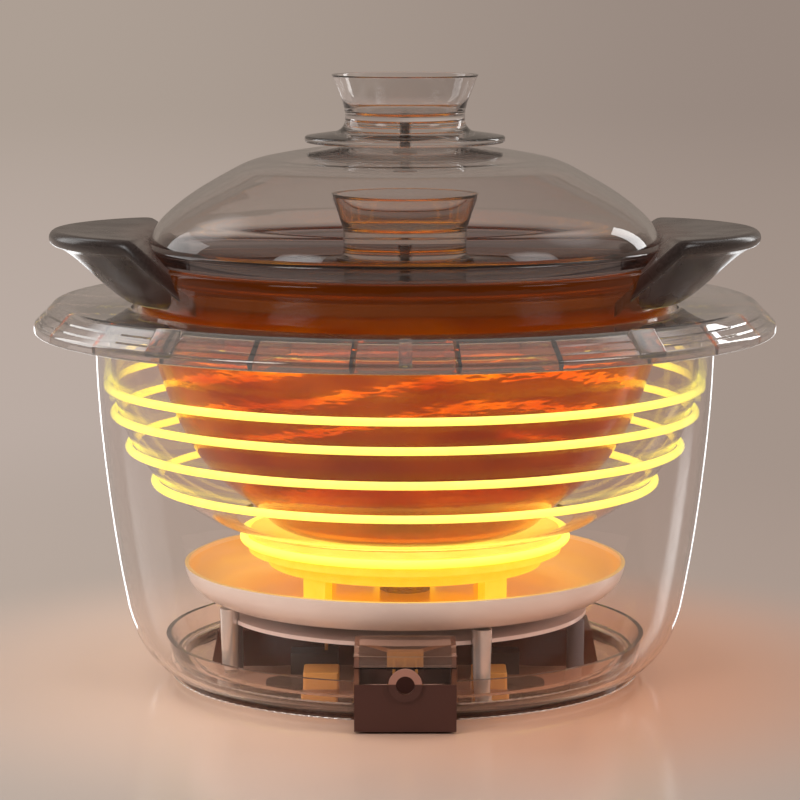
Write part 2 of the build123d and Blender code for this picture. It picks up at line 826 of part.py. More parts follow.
hood_bottom = box_seam + seat_gap
with BuildPart() as cord_box_cover:
    with BuildSketch(Plane.YZ):
        with BuildLine():
            Polyline(
                (-box_front, hood_bottom),
                (-box_front, hood_bottom + hood_front_rise),
                (-box_front + hood_slope_depth, hood_bottom + hood_rise),
                (box_back, hood_bottom + hood_rise),
                (box_back, hood_bottom),
                close=True,
            )
        make_face()
    extrude(amount=box_width / 2, both=True)
    with BuildSketch(Plane.YZ):
        with BuildLine():
            Polyline(
                (-box_front + box_wall, hood_bottom),
                (-box_front + box_wall, hood_bottom + hood_front_rise - box_wall / 2),
                (-box_front + hood_slope_depth, hood_bottom + hood_rise - box_wall),
                (box_back, hood_bottom + hood_rise - box_wall),
                (box_back, hood_bottom),
                close=True,
            )
        make_face()
    extrude(amount=box_width / 2 - box_wall, both=True, mode=Mode.SUBTRACT)
    with Locations((0, grommet_middle, box_seam)):
        Cylinder(grommet_radius + seat_gap, 2 * box_wall, rotation=(90, 0, 0), mode=Mode.SUBTRACT)
cord_box_cover.part.label = "cord_box_cover"
export_step(cord_box_cover.part, "parts/cord_box_cover.step")

with BuildPart() as cord_grommet:
    with Locations((0, grommet_middle, box_seam)):
        Cylinder(grommet_radius, box_wall, rotation=(90, 0, 0))
    with Locations((0, -box_front - grommet_lip / 2, box_seam)):
        Cylinder(grommet_lip_radius, grommet_lip, rotation=(90, 0, 0))
    with Locations((0, grommet_middle, box_seam)):
        Cylinder(cord_hole_radius, 4 * box_wall, rotation=(90, 0, 0), mode=Mode.SUBTRACT)
cord_grommet.part.label = "cord_grommet"
export_step(cord_grommet.part, "parts/cord_grommet.step")

terminal_bottom = box_seam + box_wall / 2 + seat_gap
with BuildPart() as terminal_block:
    with BuildSketch(Plane.XY.offset(terminal_bottom)):
        with Locations((0, terminal_y)):
            Rectangle(terminal_length, terminal_depth)
    extrude(amount=terminal_height)
terminal_block.part.label = "terminal_block"
export_step(terminal_block.part, "parts/terminal_block.step")

pin_front = terminal_y - terminal_depth / 2 - terminal_pin_radius
with BuildPart() as terminal_pins:
    with BuildSketch(Plane.XY.offset(terminal_bottom + terminal_height - terminal_pin_drop)):
        with Locations((0, pin_front - seat_gap)):
            with GridLocations(terminal_pin_spacing, 1, 3, 1):
                Circle(terminal_pin_radius)
    extrude(amount=-(terminal_height - terminal_pin_radius))
terminal_pins.part.label = "terminal_pins"
export_step(terminal_pins.part, "parts/terminal_pins.step")

# Two wires that rise from the relays and run under the hood to the terminal block
wire_start_x = relay_x - relay_length / 4
wire_end_x = terminal_length / 2 - 2 * wire_radius
wire_end_y = terminal_y + terminal_depth / 2 + seat_gap
wire_height = terminal_bottom + terminal_height / 2
wire_foot_height = tray_floor + relay_height + seat_gap
with BuildPart() as lead_wires:
    for side in (-1, 1):
        with BuildLine() as wire_route:
            FilletPolyline(
                (side * wire_start_x, relay_y, wire_foot_height),
                (side * wire_start_x, relay_y, wire_height),
                (side * wire_end_x, box_back + wire_lead, wire_height),
                (side * wire_end_x, wire_end_y, wire_height),
                radius=wire_bend_radius,
            )
        with BuildSketch(Plane(origin=wire_route.line @ 0, z_dir=wire_route.line % 0)):
            Circle(wire_radius)
        sweep()
lead_wires.part.label = "lead_wires"
export_step(lead_wires.part, "parts/lead_wires.step")

# Control panel: an open-backed case whose front face holds the window and the buttons
panel_bottom = foot_ring_lift
face_inside = panel_front - panel_wall
with BuildPart() as control_panel:
    with BuildSketch(Plane.XY.offset(panel_bottom)):
        with Locations((0, panel_front - panel_depth / 2)):
            Rectangle(panel_width, panel_depth)
    extrude(amount=panel_height - panel_bottom)
    fillet(control_panel.edges().filter_by(Axis.Z).group_by(Axis.Y)[-1], panel_wall)
    with BuildSketch(Plane.XZ.offset(-panel_back)):
        with Locations((0, (panel_bottom + panel_height) / 2)):
            Rectangle(panel_width - 2 * panel_wall, panel_height - panel_bottom - 2 * panel_wall)
    extrude(amount=-(panel_depth - panel_wall), mode=Mode.SUBTRACT)
    with BuildSketch(Plane.XZ.offset(-face_inside)):
        with Locations((0, panel_button_height)):
            Rectangle(window_width + 2 * seat_gap, window_height + 2 * seat_gap)
        with Locations([(column, panel_button_height) for column in button_columns]):
            Circle(button_radius + slide_gap)
    extrude(amount=-2 * panel_wall, mode=Mode.SUBTRACT)
control_panel.part.label = "control_panel"
export_step(control_panel.part, "parts/control_panel.step")

with BuildPart() as display_window:
    with BuildSketch(Plane.XZ.offset(-face_inside)):
        with Locations((0, panel_button_height)):
            Rectangle(window_width, window_height)
    extrude(amount=-panel_wall)
display_window.part.label = "display_window"
export_step(display_window.part, "parts/display_window.step")

board_face = face_inside - panel_board_setback
switch_height = panel_board_setback + panel_wall + button_proud - button_depth - button_travel
with BuildPart() as control_board:
    with BuildSketch(Plane.XZ.offset(-board_face)):
        with Locations((0, (panel_bottom + panel_height) / 2)):
            Rectangle(
                panel_width - 2 * panel_wall - 2 * seat_gap,
                panel_height - panel_bottom - 2 * panel_wall - 2 * seat_gap,
            )
    extrude(amount=panel_board_wall)
    with BuildSketch(Plane.XZ.offset(-board_face)):
        with Locations([(column, panel_button_height) for column in button_columns]):
            Rectangle(switch_width, switch_width)
    extrude(amount=-(switch_height - slide_gap))
control_board.part.label = "control_board"
export_step(control_board.part, "parts/control_board.step")

for number, column in enumerate(button_columns, start=1):
    with BuildPart() as button:
        with BuildSketch(Plane.XZ.offset(-(panel_front + button_proud))):
            with Locations((column, panel_button_height)):
                Circle(button_radius)
        extrude(amount=button_depth)
        fillet(button.edges().group_by(Axis.Y)[-1], button_fillet)
    button.part.label = f"button_{number}"
    export_step(button.part, f"parts/button_{number}.step")

# Pot: a bowl of even wall, a rim with a ledge for the inner lid, and two scooped ears
ledge_inner_radius = pot_mouth_radius - pot_ledge_width
ledge_foot_height = pot_ledge_height - pot_ledge_thickness
with BuildPart() as pot_body:
    with BuildSketch(Plane.XZ):
        with BuildLine():
            Line((0, pot_bottom), (pot_base_radius, pot_bottom))
            curved_profile(
                (
                    (pot_base_radius, pot_bottom),
                    (pot_knee_radius, pot_knee_height),
                    (pot_hip_radius, pot_hip_height),
                    (pot_waist_radius, pot_waist_height),
                    (pot_neck_radius, pot_neck_height),
                ),
                first_way=(1, 0),
                last_way=(0.04, 1),
            )
            offset(amount=pot_wall, side=Side.LEFT)
        make_face()
        with BuildLine():
            Polyline(
                (pot_neck_radius - pot_wall / 4, pot_neck_height - pot_wall / 2),
                (pot_rim_radius, pot_rim_top - pot_bead_height),
                (pot_rim_radius, pot_rim_top),
                (pot_mouth_radius, pot_rim_top),
                (pot_mouth_radius, pot_ledge_height),
                (ledge_inner_radius, pot_ledge_height),
                (ledge_inner_radius, ledge_foot_height),
                (pot_neck_radius - 3 * pot_wall / 4, pot_neck_height - pot_wall / 2),
                close=True,
            )
        make_face()
    revolve(axis=Axis.Z)
with BuildPart() as pot_ear:
    with BuildSketch(Plane.XZ):
        with BuildLine():
            Polyline(
                (ear_centre, pot_neck_height - 2 * pot_bead_height),
                (ear_centre + ear_underside_reach - pot_bead_height, ear_underside_height),
                (ear_centre + ear_underside_reach, ear_underside_height),
                (ear_centre + ear_reach - ear_edge_fillet, ear_rim_top - ear_rim_wall),
                (ear_centre + ear_reach, ear_rim_top - ear_rim_wall / 2),
                (ear_centre + ear_reach - ear_edge_fillet, ear_rim_top),
                (ear_centre, ear_rim_top - ear_saddle_drop),
                close=True,
            )
        make_face()
    revolve(axis=Axis((ear_centre, 0, 0), (0, 0, 1)))
    with BuildSketch(Plane.XY):
        Circle(pot_neck_radius - pot_wall / 2)
    extrude(amount=ear_rim_top, mode=Mode.SUBTRACT)
    with BuildSketch(Plane.XY.offset(pot_rim_top)):
        Circle(lid_rim_radius + 2 * slide_gap)
    extrude(amount=ear_rim_top, mode=Mode.SUBTRACT)
    with BuildSketch(Plane.XZ):
        with BuildLine():
            Polyline(
                (0, pot_rim_top),
                (ear_slope_foot, pot_rim_top),
                (ear_slope_top, ear_rim_top),
                (0, ear_rim_top),
                close=True,
            )
        make_face()
    extrude(amount=ear_reach, both=True, mode=Mode.SUBTRACT)
with BuildPart() as pot:
    add(pot_body.part)
    for angle in (0, 180):
        add(pot_ear.part, rotation=(0, 0, angle))
pot.part.label = "pot"
export_step(pot.part, "parts/pot.step")

# Inner lid: a flat disc on the pot's ledge, its cup-shaped knob and the knob's screw
with BuildPart() as inner_lid:
    with BuildSketch(Plane.XY.offset(inner_lid_bottom)):
        Circle(inner_lid_radius)
        Circle(knob_screw_radius + seat_gap, mode=Mode.SUBTRACT)
    extrude(amount=inner_lid_thickness)
    fillet(inner_lid.edges().group_by(Axis.Z)[-1].sort_by(SortBy.LENGTH)[-1], inner_lid_fillet)
inner_lid.part.label = "inner_lid"
export_step(inner_lid.part, "parts/inner_lid.step")


def knob_screw(bottom, under):
    """Make a knob's screw: a head below the lid and a shank up into the knob."""
    with BuildPart() as screw:
        with Locations((0, 0, under - seat_gap)):
            Cylinder(
                knob_screw_head_radius,
                knob_screw_head_height,
                align=(Align.CENTER, Align.CENTER, Align.MAX),
            )
        fillet(screw.edges().group_by(Axis.Z)[0], knob_screw_fillet)
        with Locations((0, 0, under - seat_gap)):
            Cylinder(
                knob_screw_radius,
                bottom + knob_screw_depth - under,
                align=(Align.CENTER, Align.CENTER, Align.MIN),
            )
    return screw.part


with BuildPart() as inner_knob:
    with BuildSketch(Plane.XZ):
        with BuildLine():
            Line((0, inner_knob_bottom), (inner_knob_base_radius, inner_knob_bottom))
            curved_profile(
                (
                    (inner_knob_base_radius, inner_knob_bottom),
                    (inner_knob_neck_radius, inner_knob_bottom + inner_knob_neck_height),
                ),
                first_way=(-0.7, 1),
                last_way=(0, 1),
            )
            curved_profile(
                (
                    (inner_knob_neck_radius, inner_knob_bottom + inner_knob_neck_height),
                    (inner_knob_mouth_radius, inner_knob_bottom + inner_knob_height),
                ),
                first_way=(0, 1),
                last_way=(0.4, 1),
            )
            Polyline(
                (inner_knob_mouth_radius, inner_knob_bottom + inner_knob_height),
                (inner_knob_mouth_radius - knob_cup_wall, inner_knob_bottom + inner_knob_height),
                (inner_knob_neck_radius - knob_cup_wall, inner_knob_bottom + inner_knob_floor_height),
                (0, inner_knob_bottom + inner_knob_floor_height),
                (0, inner_knob_bottom),
            )
        make_face()
    revolve(axis=Axis.Z)
    fillet(inner_knob.edges().group_by(Axis.Z)[-1], knob_cup_fillet)
    with BuildSketch(Plane.XY.offset(inner_knob_bottom)):
        Circle(knob_screw_radius + seat_gap / 2)
    extrude(amount=knob_screw_depth, mode=Mode.SUBTRACT)
inner_knob.part.label = "inner_knob"
export_step(inner_knob.part, "parts/inner_knob.step")

inner_knob_screw = knob_screw(inner_knob_bottom, inner_lid_bottom)
inner_knob_screw.label = "inner_knob_screw"
export_step(inner_knob_screw, "parts/inner_knob_screw.step")

# Outer lid: a dome of even wall with a thick rim that rests on the pot's rim
with BuildPart() as outer_lid:
    with BuildSketch(Plane.XZ):
        with BuildLine():
            curved_profile(
                (
                    (lid_shoulder_radius, lid_bottom + lid_rim_height),
                    (lid_flank_radius, lid_bottom + lid_flank_rise),
                    (lid_brow_radius, lid_bottom + lid_brow_rise),
                    (lid_crown_radius, lid_bottom + lid_crown_rise),
                    (0, lid_top),
                ),
                first_way=(-0.3, 1),
                last_way=(-1, 0),
            )
            offset(amount=lid_wall, side=Side.LEFT)
        make_face()
    revolve(axis=Axis.Z)
    with BuildSketch(Plane.XZ):
        with BuildLine():
            Polyline(
                (lid_rim_inner_radius, lid_bottom),
                (lid_rim_radius, lid_bottom),
                (lid_rim_radius, lid_bottom + lid_rim_side_height),
                (lid_shoulder_radius, lid_bottom + lid_rim_height),
                (lid_shoulder_radius - lid_rim_root_width, lid_bottom + lid_rim_height),
                (lid_rim_inner_radius, lid_bottom + lid_rim_side_height),
                close=True,
            )
        make_face()
    revolve(axis=Axis.Z)
    with BuildSketch(Plane.XY.offset(lid_bottom)):
        Circle(knob_screw_radius + seat_gap)
    extrude(amount=lid_height, mode=Mode.SUBTRACT)
outer_lid.part.label = "outer_lid"
export_step(outer_lid.part, "parts/outer_lid.step")

with BuildPart() as outer_knob:
    with BuildSketch(Plane.XZ):
        with BuildLine():
            Polyline(
                (0, outer_knob_bottom),
                (outer_knob_flange_radius, outer_knob_bottom),
                (outer_knob_flange_radius, outer_knob_bottom + outer_knob_flange_height),
            )
            curved_profile(
                (
                    (outer_knob_flange_radius, outer_knob_bottom + outer_knob_flange_height),
                    (outer_knob_neck_radius, outer_knob_bottom + outer_knob_neck_height),
                ),
                first_way=(-1, 0.1),
                last_way=(0, 1),
            )
            curved_profile(
                (
                    (outer_knob_neck_radius, outer_knob_bottom + outer_knob_neck_height),
                    (outer_knob_mouth_radius, outer_knob_bottom + outer_knob_height),
                ),
                first_way=(0, 1),
                last_way=(0.4, 1),
            )
            Polyline(
                (outer_knob_mouth_radius, outer_knob_bottom + outer_knob_height),
                (outer_knob_mouth_radius - knob_cup_wall, outer_knob_bottom + outer_knob_height),
                (outer_knob_neck_radius - knob_cup_wall, outer_knob_bottom + outer_knob_floor_height),
                (0, outer_knob_bottom + outer_knob_floor_height),
                (0, outer_knob_bottom),
            )
        make_face()
    revolve(axis=Axis.Z)
    fillet(outer_knob.edges().group_by(Axis.Z)[-1], knob_cup_fillet)
    with BuildSketch(Plane.XY.offset(outer_knob_bottom)):
        Circle(knob_screw_radius + seat_gap / 2)
    extrude(amount=knob_screw_depth, mode=Mode.SUBTRACT)
outer_knob.part.label = "outer_knob"
export_step(outer_knob.part, "parts/outer_knob.step")

outer_knob_screw = knob_screw(outer_knob_bottom, lid_top - lid_wall)
outer_knob_screw.label = "outer_knob_screw"
export_step(outer_knob_screw, "parts/outer_knob_screw.step")
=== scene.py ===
"""Looks of a see-through multicooker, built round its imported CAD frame.

Lengths in the sub-assemblies are millimetres. Those in the finishes and the studio are metres, and the
scale of a noise is in waves to a metre. Meshes are written in metres, in the frame of the CAD model: +Z up,
-Y towards the cord entry, +Y towards the control panel, X through the pot's ears. A span is the pair of
values between which one look passes into the next.
"""

import json
import logging
import math
from dataclasses import dataclass, field
from enum import Enum
from typing import Sequence

import bmesh
import bpy
import numpy as np
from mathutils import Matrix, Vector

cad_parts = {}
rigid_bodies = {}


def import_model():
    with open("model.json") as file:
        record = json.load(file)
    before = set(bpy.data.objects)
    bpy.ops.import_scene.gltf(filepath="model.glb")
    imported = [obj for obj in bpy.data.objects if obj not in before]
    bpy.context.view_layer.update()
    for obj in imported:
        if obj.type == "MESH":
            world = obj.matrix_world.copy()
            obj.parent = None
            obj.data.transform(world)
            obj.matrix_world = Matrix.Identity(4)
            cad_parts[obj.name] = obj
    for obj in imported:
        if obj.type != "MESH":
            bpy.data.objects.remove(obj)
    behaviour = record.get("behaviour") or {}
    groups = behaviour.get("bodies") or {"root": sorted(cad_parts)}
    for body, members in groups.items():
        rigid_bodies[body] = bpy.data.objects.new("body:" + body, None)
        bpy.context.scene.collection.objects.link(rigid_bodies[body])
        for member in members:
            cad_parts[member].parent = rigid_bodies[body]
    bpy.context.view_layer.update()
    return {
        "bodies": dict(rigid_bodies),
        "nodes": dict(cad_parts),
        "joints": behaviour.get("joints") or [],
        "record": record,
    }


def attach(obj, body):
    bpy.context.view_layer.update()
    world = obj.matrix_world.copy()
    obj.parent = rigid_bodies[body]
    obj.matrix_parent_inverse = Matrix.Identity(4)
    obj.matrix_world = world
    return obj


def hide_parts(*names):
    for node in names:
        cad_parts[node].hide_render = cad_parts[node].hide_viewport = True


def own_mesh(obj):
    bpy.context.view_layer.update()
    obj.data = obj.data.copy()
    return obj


LOG = logging.getLogger("multicooker")
MM = 0.001
FULL_TURN = 2 * math.pi
NO_LENGTH = 1e-12  # product of two lengths that counts as none
SHARPEST_TURN = 1e-6  # least share of a turn back that an arc can follow
SAME_WAY = 1e-9  # difference of two directions that counts as none
LONGEST_ARM = 0.49  # share of a side that the arc at its corner may take
WELD_DISTANCE = 1e-6  # in metres
FLAT_DISTANCE = 1e-7  # in metres
Pair = tuple[float, float]
Triple = tuple[float, float, float]
Colour = tuple[float, float, float, float]
Piece = bpy.types.Object
Socket = bpy.types.NodeSocket


class Body(Enum):
    """A CAD body that a new piece rides on."""

    BASE = "base"
    POT = "pot"
    INNER_LID = "inner_lid"
    OUTER_LID = "outer_lid"


class Slot(Enum):
    """A material slot of the record, passed with each new piece."""

    CLEAR_RING = "clear_ring"
    GLOWING_COIL = "glowing_coil"
    LID_GLASS = "lid_glass"
    LINER_GLASS = "liner_glass"
    POT_GLAZE = "pot_glaze"
    SCREW_STEEL = "screw_steel"
    SMOKED_PLASTIC = "smoked_plastic"


class Axis(Enum):
    """A coordinate axis."""

    X = "X"
    Y = "Y"
    Z = "Z"


class Sum(Enum):
    """What a Math node works out."""

    ADD = "ADD"
    DIVIDE = "DIVIDE"
    MULTIPLY = "MULTIPLY"
    MAXIMUM = "MAXIMUM"


def colour(red: int, green: int, blue: int) -> Colour:
    """Give an 8-bit screen colour as the linear colour that shader sockets take.

    Args:
        red: Red from 0 to 255.
        green: Green from 0 to 255.
        blue: Blue from 0 to 255.

    Returns:
        Linear red, green and blue, and an alpha of 1.
    """
    share = np.array([red, green, blue]) / 255
    linear = np.where(share <= 0.04045, share / 12.92, ((share + 0.055) / 1.055) ** 2.4)
    return (*linear.tolist(), 1.0)


# Curves in a plane: arrays of radius and height, one row a point


def circular_bend(start: np.ndarray, corner: np.ndarray, end: np.ndarray, steps: int) -> np.ndarray:
    """Sample the arc that leaves start towards a corner and reaches end from it.

    The arc is the rational curve ((1-t)^2 start + 2t(1-t) w corner + t^2 end) over the same sum of its
    weights, where w is the cosine of half the turn.

    Args:
        start: First point of the arc.
        corner: Where its two end tangents meet, as far from start as from end.
        end: Last point of the arc.
        steps: Number of spans.

    Returns:
        steps + 1 points.
    """
    first, last = corner - start, end - corner
    cosine = first @ last / max(np.linalg.norm(first) * np.linalg.norm(last), NO_LENGTH)
    weight = math.sqrt(max((1 + cosine) / 2, SHARPEST_TURN))
    t = np.linspace(0, 1, steps + 1)[:, None]
    parts = ((1 - t) ** 2, 2 * t * (1 - t) * weight, t**2)
    total = parts[0] * start + parts[1] * corner + parts[2] * end
    return total / (parts[0] + parts[1] + parts[2])


def smooth_profile(points: Sequence[Pair], first_way: Pair, last_way: Pair, steps: int = 8) -> np.ndarray:
    """Sample a curve through points, as pairs of arcs that join without a corner.

    Between two points the arcs meet halfway between start + a * way and end - a * way, where a makes both
    arms as long as half the line between them.

    Args:
        points: The points, in order.
        first_way: Direction at the first point.
        last_way: Direction at the last point.
        steps: Spans in each arc.

    Returns:
        The sampled curve.
    """
    spots = np.array(points, float)
    ways = np.vstack([first_way, spots[2:] - spots[:-2], last_way])
    ways /= np.linalg.norm(ways, axis=1, keepdims=True)
    runs = []
    for start, end, way, end_way in zip(spots, spots[1:], ways, ways[1:]):
        chord = end - start
        slack = 2 * (1 - way @ end_way)
        reach = chord @ (way + end_way)
        if slack < SAME_WAY:
            arm = chord @ chord / (2 * reach)
        else:
            arm = (math.sqrt(reach**2 + slack * (chord @ chord)) - reach) / slack
        near, far = start + way * arm, end - end_way * arm
        middle = (near + far) / 2
        runs.append(circular_bend(start, near, middle, steps)[:-1])
        runs.append(circular_bend(middle, far, end, steps)[:-1])
    return np.vstack([*runs, spots[-1:]])


def rounded(corners: Sequence[Triple], steps: int = 4, closed: bool = False) -> np.ndarray:
    """Sample a polygon whose corners are arcs.

    Args:
        corners: Radius, height and corner radius of each corner.
        steps: Spans in each arc.
        closed: Whether the last corner joins the first, so that all corners are rounded.

    Returns:
        The sampled line.
    """
    spots = np.array(corners, float)
    before, after = np.roll(spots, 1, axis=0)[:, :2], np.roll(spots, -1, axis=0)[:, :2]
    runs = []
    for index, (spot, last, following) in enumerate(zip(spots, before, after)):
        centre, radius = spot[:2], spot[2]
        at_end = not closed and index in (0, len(spots) - 1)
        if radius <= 0 or at_end:
            runs.append(centre[None])
            continue
        inward, outward = last - centre, following - centre
        lengths = np.linalg.norm(inward), np.linalg.norm(outward)
        inward, outward = inward / lengths[0], outward / lengths[1]
        half = math.acos(np.clip(inward @ outward, -1, 1)) / 2
        arm = min(radius / math.tan(half), LONGEST_ARM * min(lengths))
        runs.append(circular_bend(centre + inward * arm, centre, centre + outward * arm, steps))
    return np.vstack(runs)


def moved_in(line: np.ndarray, distance: float) -> np.ndarray:
    """Give a line moved sideways, to the left of the way it runs.

    Args:
        line: Points of the line.
        distance: How far each point moves along its left-hand normal.

    Returns:
        The moved points.
    """
    way = np.gradient(line, axis=0)
    way /= np.linalg.norm(way, axis=1, keepdims=True)
    return line + distance * np.column_stack([-way[:, 1], way[:, 0]])


def round_axis(radius: np.ndarray | float, angle: np.ndarray, height: np.ndarray | float) -> np.ndarray:
    """Give points at (radius * cosine, radius * sine, height) of each angle round the vertical axis."""
    return np.stack(np.broadcast_arrays(radius * np.cos(angle), radius * np.sin(angle), height), axis=-1)


# Surfaces: a grid of points joined into faces


def grid_faces(rows: int, columns: int, rows_close: bool, columns_close: bool) -> np.ndarray:
    """Give the four corner numbers of each face of a grid of points.

    Args:
        rows: Number of rows of points.
        columns: Number of points in a row.
        rows_close: Whether the last row joins the first.
        columns_close: Whether the last column joins the first.

    Returns:
        One row of four point numbers for each face.
    """
    row = np.arange(rows if rows_close else rows - 1)[:, None]
    column = np.arange(columns if columns_close else columns - 1)[None]
    next_row, next_column = (row + 1) % rows, (column + 1) % columns
    corners = [row * columns + column, row * columns + next_column]
    corners += [next_row * columns + next_column, next_row * columns + column]
    return np.stack(np.broadcast_arrays(*corners), axis=-1).reshape(-1, 4)


def shade_smooth(mesh: bpy.types.Mesh) -> None:
    """Shade all faces of a mesh smoothly."""
    mesh.polygons.foreach_set("use_smooth", np.ones(len(mesh.polygons), bool))


def piece_from(name: str, points: np.ndarray, faces: np.ndarray, sharp: float = 40.0) -> Piece:
    """Make a mesh object from points in millimetres, with outward faces and smooth shading.

    Args:
        name: Name of the piece.
        points: One row for each point.
        faces: One row of point numbers for each face.
        sharp: Angle in degrees past which an edge stays sharp.

    Returns:
        The new object, at the origin.
    """
    mesh = bpy.data.meshes.new(name)
    mesh.from_pydata((points * MM).tolist(), [], faces.tolist())
    work = bmesh.new()
    work.from_mesh(mesh)
    bmesh.ops.remove_doubles(work, verts=work.verts, dist=WELD_DISTANCE)
    bmesh.ops.dissolve_degenerate(work, edges=work.edges, dist=FLAT_DISTANCE)
    bmesh.ops.recalc_face_normals(work, faces=work.faces)
    work.to_mesh(mesh)
    work.free()
    shade_smooth(mesh)
    mesh.set_sharp_from_angle(angle=math.radians(sharp))
    piece = bpy.data.objects.new(name, mesh)
    bpy.context.scene.collection.objects.link(piece)
    return piece


def swept(name: str, sections: np.ndarray, angle: np.ndarray, closed: bool, sharp: float) -> Piece:
    """Stand a section at each angle round the vertical axis and join them.

    Args:
        name: Name of the piece.
        sections: For each angle, rows of radius and height.
        angle: The angles in radians.
        closed: Whether the last section joins the first.
        sharp: Angle in degrees past which an edge stays sharp.

    Returns:
        The new object.
    """
    points = round_axis(sections[..., 0], angle[:, None], sections[..., 1])
    return piece_from(name, points.reshape(-1, 3), grid_faces(*sections.shape[:2], closed, True), sharp)


def turned(name: str, profile: np.ndarray, closed: bool = True, steps: int = 192,
           sharp: float = 40.0) -> Piece:
    """Turn a profile round the vertical axis.

    Point (i, j) is profile radius i along the angle j, at profile height i.

    Args:
        name: Name of the piece.
        profile: Rows of radius and height.
        closed: Whether the profile is a loop; otherwise both its ends are on the axis.
        steps: Points round the axis.
        sharp: Angle in degrees past which an edge stays sharp.

    Returns:
        The new object.
    """
    points = round_axis(profile[:, :1], np.arange(steps) * FULL_TURN / steps, profile[:, 1:])
    return piece_from(name, points.reshape(-1, 3), grid_faces(len(profile), steps, closed, True), sharp)


def tube(name: str, path: np.ndarray, radius: float | np.ndarray, closed: bool = False,
         sides: int = 12) -> Piece:
    """Carry a circle along a path.

    Point (i, j) is path i plus radius times (cosine j * side + sine j * lift), where side is level and
    square to the path and lift is square to both.

    Args:
        name: Name of the piece.
        path: Points of the centre line, nowhere vertical.
        radius: Radius of the tube, one for all or one for each point.
        closed: Whether the path is a loop.
        sides: Points round the tube.

    Returns:
        The new object.
    """
    way = np.roll(path, -1, axis=0) - np.roll(path, 1, axis=0) if closed else np.gradient(path, axis=0)
    way /= np.linalg.norm(way, axis=1, keepdims=True)
    side = np.cross(way, [0, 0, 1.0])
    side /= np.linalg.norm(side, axis=1, keepdims=True)
    lift = np.cross(side, way)
    angle = np.arange(sides) * FULL_TURN / sides
    ring = np.cos(angle)[None, :, None] * side[:, None] + np.sin(angle)[None, :, None] * lift[:, None]
    points = path[:, None] + np.reshape(radius, (-1, 1, 1)) * ring
    if not closed:
        ends = np.broadcast_to(path[[0, -1]][:, None], (2, sides, 3))
        points = np.concatenate([ends[:1], points, ends[1:]])
    return piece_from(name, points.reshape(-1, 3), grid_faces(len(points), sides, closed, True))


# Finishes


class NodeSheet:
    """A shader node tree, with short calls for its nodes."""

    def __init__(self, tree: bpy.types.NodeTree, output: bpy.types.Node) -> None:
        """Take the tree and its output node."""
        self.tree, self.output = tree, output
        self.place = self.node("TexCoord").outputs["Object"]

    def feed(self, node: bpy.types.Node, inputs: dict[str | int, object]) -> None:
        """Set a node's inputs.

        Args:
            node: The node.
            inputs: A socket to link or a constant for each input, by its name or number.
        """
        for key, value in inputs.items():
            if isinstance(value, Socket):
                self.tree.links.new(value, node.inputs[key])
            else:
                node.inputs[key].default_value = value

    def node(self, kind: str, inputs: dict[str | int, object] | None = None,
             **settings: str) -> bpy.types.Node:
        """Add a node.

        Args:
            kind: Its type, without the start that all shader nodes share.
            inputs: What feeds its inputs.
            settings: Its own settings.

        Returns:
            The new node.
        """
        node = self.tree.nodes.new("ShaderNode" + kind)
        for name, value in settings.items():
            setattr(node, name, value)
        self.feed(node, inputs or {})
        return node

    def stretched(self, scale: Triple) -> Socket:
        """Give the object's own coordinates, scaled along each axis."""
        return self.node("Mapping", {"Vector": self.place, "Scale": scale}).outputs["Vector"]

    def noise(self, scale: float, detail: float = 2.0, stretch: Triple = (1, 1, 1)) -> Socket:
        """Give a noise from 0 to 1.

        Args:
            scale: Waves to a metre.
            detail: Octaves of finer noise.
            stretch: Scale along each axis.

        Returns:
            The noise's factor.
        """
        inputs = {"Vector": self.stretched(stretch), "Scale": scale, "Detail": detail}
        return self.node("TexNoise", inputs).outputs["Fac"]

    def axis(self, axis: Axis) -> Socket:
        """Give one coordinate in metres."""
        return self.node("SeparateXYZ", {"Vector": self.place}).outputs[axis.value]

    def distance(self, centre: Triple, scale: Triple = (1, 1, 1)) -> Socket:
        """Give the distance in metres from a point, where both are scaled along each axis first."""
        inputs = {0: self.stretched(scale), 1: centre}
        return self.node("VectorMath", inputs, operation="DISTANCE").outputs["Value"]

    def maths(self, operation: Sum, first: Socket, second: Socket | float) -> Socket:
        """Give the result of an operation on two values."""
        return self.node("Math", {0: first, 1: second}, operation=operation.value).outputs["Value"]

    def spread(self, source: Socket, low: float, high: float, out_low: float = 0.0,
               out_high: float = 1.0) -> Socket:
        """Map low..high of a value onto out_low..out_high, smoothly and clamped.

        Args:
            source: The value.
            low: Value that gives out_low.
            high: Value that gives out_high.
            out_low: Result at low.
            out_high: Result at high.

        Returns:
            The mapped value.
        """
        inputs = {"Value": source, "From Min": low, "From Max": high, "To Min": out_low, "To Max": out_high}
        return self.node("MapRange", inputs, interpolation_type="SMOOTHSTEP").outputs["Result"]

    def blend(self, share: Socket, first: Socket | Colour, second: Socket | Colour) -> Socket:
        """Mix two colours by the share of the second."""
        return self.node("Mix", {0: share, 6: first, 7: second}, data_type="RGBA").outputs[2]

    def seen(self) -> Socket:
        """Give 1 for rays from the camera, also after a mirror or a clear wall, and 0 for rays that light.

        Returns:
            The value.
        """
        ray = self.node("LightPath").outputs
        first = self.maths(Sum.MAXIMUM, ray["Is Camera Ray"], ray["Is Glossy Ray"])
        return self.maths(Sum.MAXIMUM, first, ray["Is Transmission Ray"])

    def show(self, shader: bpy.types.Node) -> None:
        """Show a shader on the surface."""
        self.tree.links.new(shader.outputs[0], self.output.inputs["Surface"])

    def show_mixed(self, share: Socket, first: bpy.types.Node, second: bpy.types.Node) -> None:
        """Show two shaders, mixed by the share of the second."""
        self.show(self.node("MixShader", {0: share, 1: first.outputs[0], 2: second.outputs[0]}))


